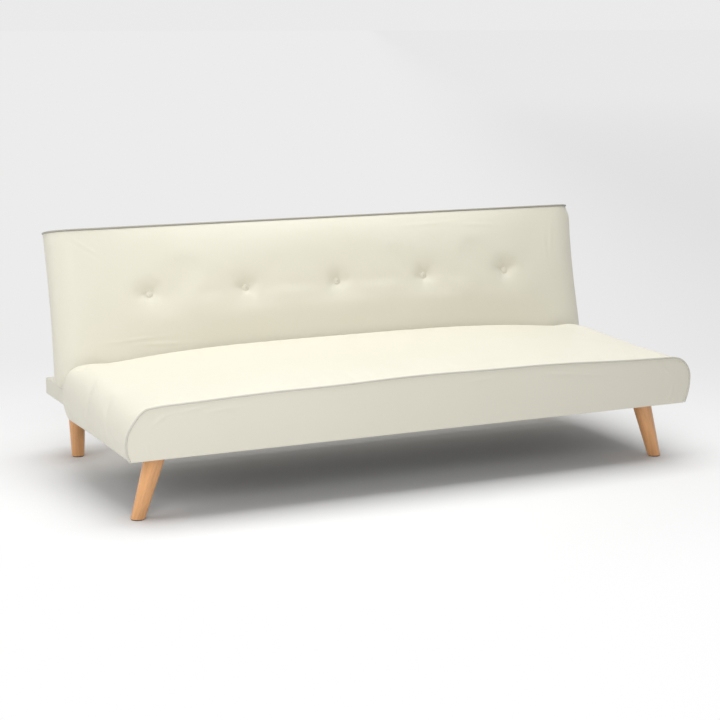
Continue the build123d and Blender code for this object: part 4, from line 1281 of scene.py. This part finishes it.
class SOFA_OT_dust_cover(bpy.types.Operator):
    """Stretch the dust cloth under the seat, slack between the rails"""

    bl_idname = "sofa.dust_cover"
    bl_label = "Dust cloth"

    def execute(self, context):
        columns, rows = 70, 26
        reach = DUST_HIGH.x
        front, rear = DUST_LOW.y, DUST_HIGH.y

        def place(column, row):
            x = -reach + 2 * reach * column / (columns - 1)
            y = front + (rear - front) * row / (rows - 1)
            edge = min(reach - abs(x), y - front, rear - y)
            slack = 0.0025 * ease(edge, 0.04, 0.16)
            return Vector((x, y, DUST_LOW.z + DUST_THICKNESS - slack))

        piece = grid("dust_cloth", columns, rows, place)
        turn_out(piece, lambda middle: Vector((0, 0, -1)))
        thicken(piece, DUST_THICKNESS)
        smooth(piece)
        finish_piece(piece, "base", "dust_cover", finish="spun_dust_cloth", slot="dust_cloth")
        return {"FINISHED"}


class SOFA_OT_frame_finishes(bpy.types.Operator):
    """Give the legs, timber, steel and small parts of the frame their finishes"""

    bl_idname = "sofa.frame_finishes"
    bl_label = "Frame finishes"

    def execute(self, context):
        for name, nodes in NODE_FINISHES.items():
            material = made_finish(name)
            for node in nodes:
                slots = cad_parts[node].data.materials
                for place in range(len(slots)):
                    slots[place] = material
        return {"FINISHED"}


def seen_rays(tree):
    """The kinds of ray, and 1 for those that show a surface straight or in a glossy face."""
    rays = add(tree, "ShaderNodeLightPath").outputs
    return rays, work_out(tree, "MAXIMUM", rays["Is Camera Ray"], rays["Is Glossy Ray"])


def lay_floor():
    """A painted floor that keeps its lamplit shading near the sofa and, further out, passes into the evenly
    lit backdrop through a glow of painted light that dims further off and to the side.
    """
    deselect()
    bpy.ops.mesh.primitive_plane_add(size=FLOOR_SIZE)
    floor = new_piece("studio_floor")
    material, tree, shader, place = finish("studio_floor_paint")
    base = colours().floor
    tone = noise(tree, place, 0.6, 2.0)["Fac"]
    give(tree, shader, {
        "Base Color": ramp(tree, tone, [(0.3, tint(base, 0.985)), (0.7, tuple(base))]),
        "Roughness": 0.9,
        "Specular IOR Level": 0.1,
    })
    away = vector_work(tree, "DOT_PRODUCT", place, FLOOR_AWAY)["Value"]
    aside = vector_work(tree, "DOT_PRODUCT", place, FLOOR_ASIDE)["Value"]
    # Painted light: the glow dims from 1.0 near the camera to 0.838 far off, and a little more to the side,
    # in place of the lamps' falloff
    deep = remap(tree, away, -1.0, 1.8, 1.0, 0.838, "SMOOTHSTEP")
    wide = remap(tree, aside, 0.4, 2.6, shape="SMOOTHSTEP")
    near = remap(tree, away, 4.0, 30.0, 0.09, 0.03, "SMOOTHSTEP")
    level = work_out(tree, "SUBTRACT", deep, work_out(tree, "MULTIPLY", wide, near))
    painted_light_glow = add(tree, "ShaderNodeEmission", {"Color": level})
    oval = vector_work(tree, "MULTIPLY", place, FLOOR_OVAL)["Vector"]
    beyond = remap(tree, vector_work(tree, "LENGTH", oval)["Value"], 0.82, 1.35, shape="SMOOTHSTEP")
    share = work_out(tree, "MULTIPLY", seen_rays(tree)[1], beyond)
    mixed = add(tree, "ShaderNodeMixShader", {0: share, 1: shader.outputs[0], 2: painted_light_glow.outputs[0]})
    give(tree, tree.nodes["Material Output"], {"Surface": mixed.outputs[0]})
    floor.data.materials.append(material)


def light_sky(scene):
    """A soft light from all round, with a plain backdrop where it is seen."""
    world = bpy.data.worlds.new("studio_light")
    scene.world = world
    world.use_nodes = True
    sky = world.node_tree
    light = sky.nodes["Background"]
    give(sky, light, {"Color": SKY_COLOUR, "Strength": SKY_STRENGTH})
    backdrop = add(sky, "ShaderNodeBackground", {"Color": BACKDROP, "Strength": 1.0})
    rays, seen = seen_rays(sky)
    shown = work_out(sky, "MAXIMUM", seen, rays["Is Transmission Ray"])
    mixed = add(sky, "ShaderNodeMixShader", {0: shown, 1: light.outputs[0], 2: backdrop.outputs[0]})
    give(sky, sky.nodes["World Output"], {"Surface": mixed.outputs[0]})


def hang_lamp(name, spot, target, size, power):
    bpy.ops.object.light_add(type="AREA", location=spot)
    lamp = new_piece(name)
    lamp.rotation_euler = (Vector(target) - Vector(spot)).to_track_quat("-Z", "Y").to_euler()
    lamp.data.shape = "RECTANGLE"
    lamp.data.size, lamp.data.size_y = size
    lamp.data.energy = power


class SOFA_OT_stage(bpy.types.Operator):
    """Set the floor, the soft studio light and the camera"""

    bl_idname = "sofa.stage"
    bl_label = "Stage"

    def execute(self, context):
        scene = context.scene
        scene.view_settings.view_transform = "Standard"
        lay_floor()
        light_sky(scene)
        for lamp in LAMPS:
            hang_lamp(*lamp)
        bpy.ops.object.camera_add(location=CAMERA_SPOT, rotation=(math.pi / 2 - CAMERA_PITCH, 0, CAMERA_YAW))
        camera = new_piece("front_left_camera")
        camera.data.lens = CAMERA_LENS
        camera.data.sensor_width = CAMERA_SENSOR
        camera.data.clip_end = CAMERA_REACH
        scene.camera = camera
        return {"FINISHED"}


class SOFA_PT_panel(bpy.types.Panel):
    """The sofa bed's pieces in the order they are made"""

    bl_idname = "SOFA_PT_panel"
    bl_label = "Sofa Bed"
    bl_space_type = "VIEW_3D"
    bl_region_type = "UI"
    bl_category = "Sofa Bed"

    def draw(self, context):
        for values in (context.scene.sofa_sizes, context.scene.sofa_colours):
            box = self.layout.box()
            for name in values.__annotations__:
                box.prop(values, name)
        column = self.layout.column()
        for operator in OPERATORS:
            column.operator(operator.bl_idname)


OPERATORS = (
    SOFA_OT_finishes,
    SOFA_OT_seat,
    SOFA_OT_front_panel,
    SOFA_OT_back,
    SOFA_OT_back_panels,
    SOFA_OT_welts,
    SOFA_OT_buttons,
    SOFA_OT_rail_covers,
    SOFA_OT_dust_cover,
    SOFA_OT_frame_finishes,
    SOFA_OT_stage,
)
CLASSES = (SofaSizes, SofaColours, *OPERATORS, SOFA_PT_panel)


def register():
    for made in CLASSES:
        bpy.utils.register_class(made)
    bpy.types.Scene.sofa_sizes = bpy.props.PointerProperty(type=SofaSizes)
    bpy.types.Scene.sofa_colours = bpy.props.PointerProperty(type=SofaColours)


def unregister():
    del bpy.types.Scene.sofa_colours
    del bpy.types.Scene.sofa_sizes
    for made in reversed(CLASSES):
        bpy.utils.unregister_class(made)


def main():
    register()
    for operator in OPERATORS:
        call = getattr(bpy.ops.sofa, operator.bl_idname.split(".")[1])
        if call() != {"FINISHED"}:
            raise RuntimeError(f"{operator.bl_label} did not finish")


if __name__ == "__main__":
    main()
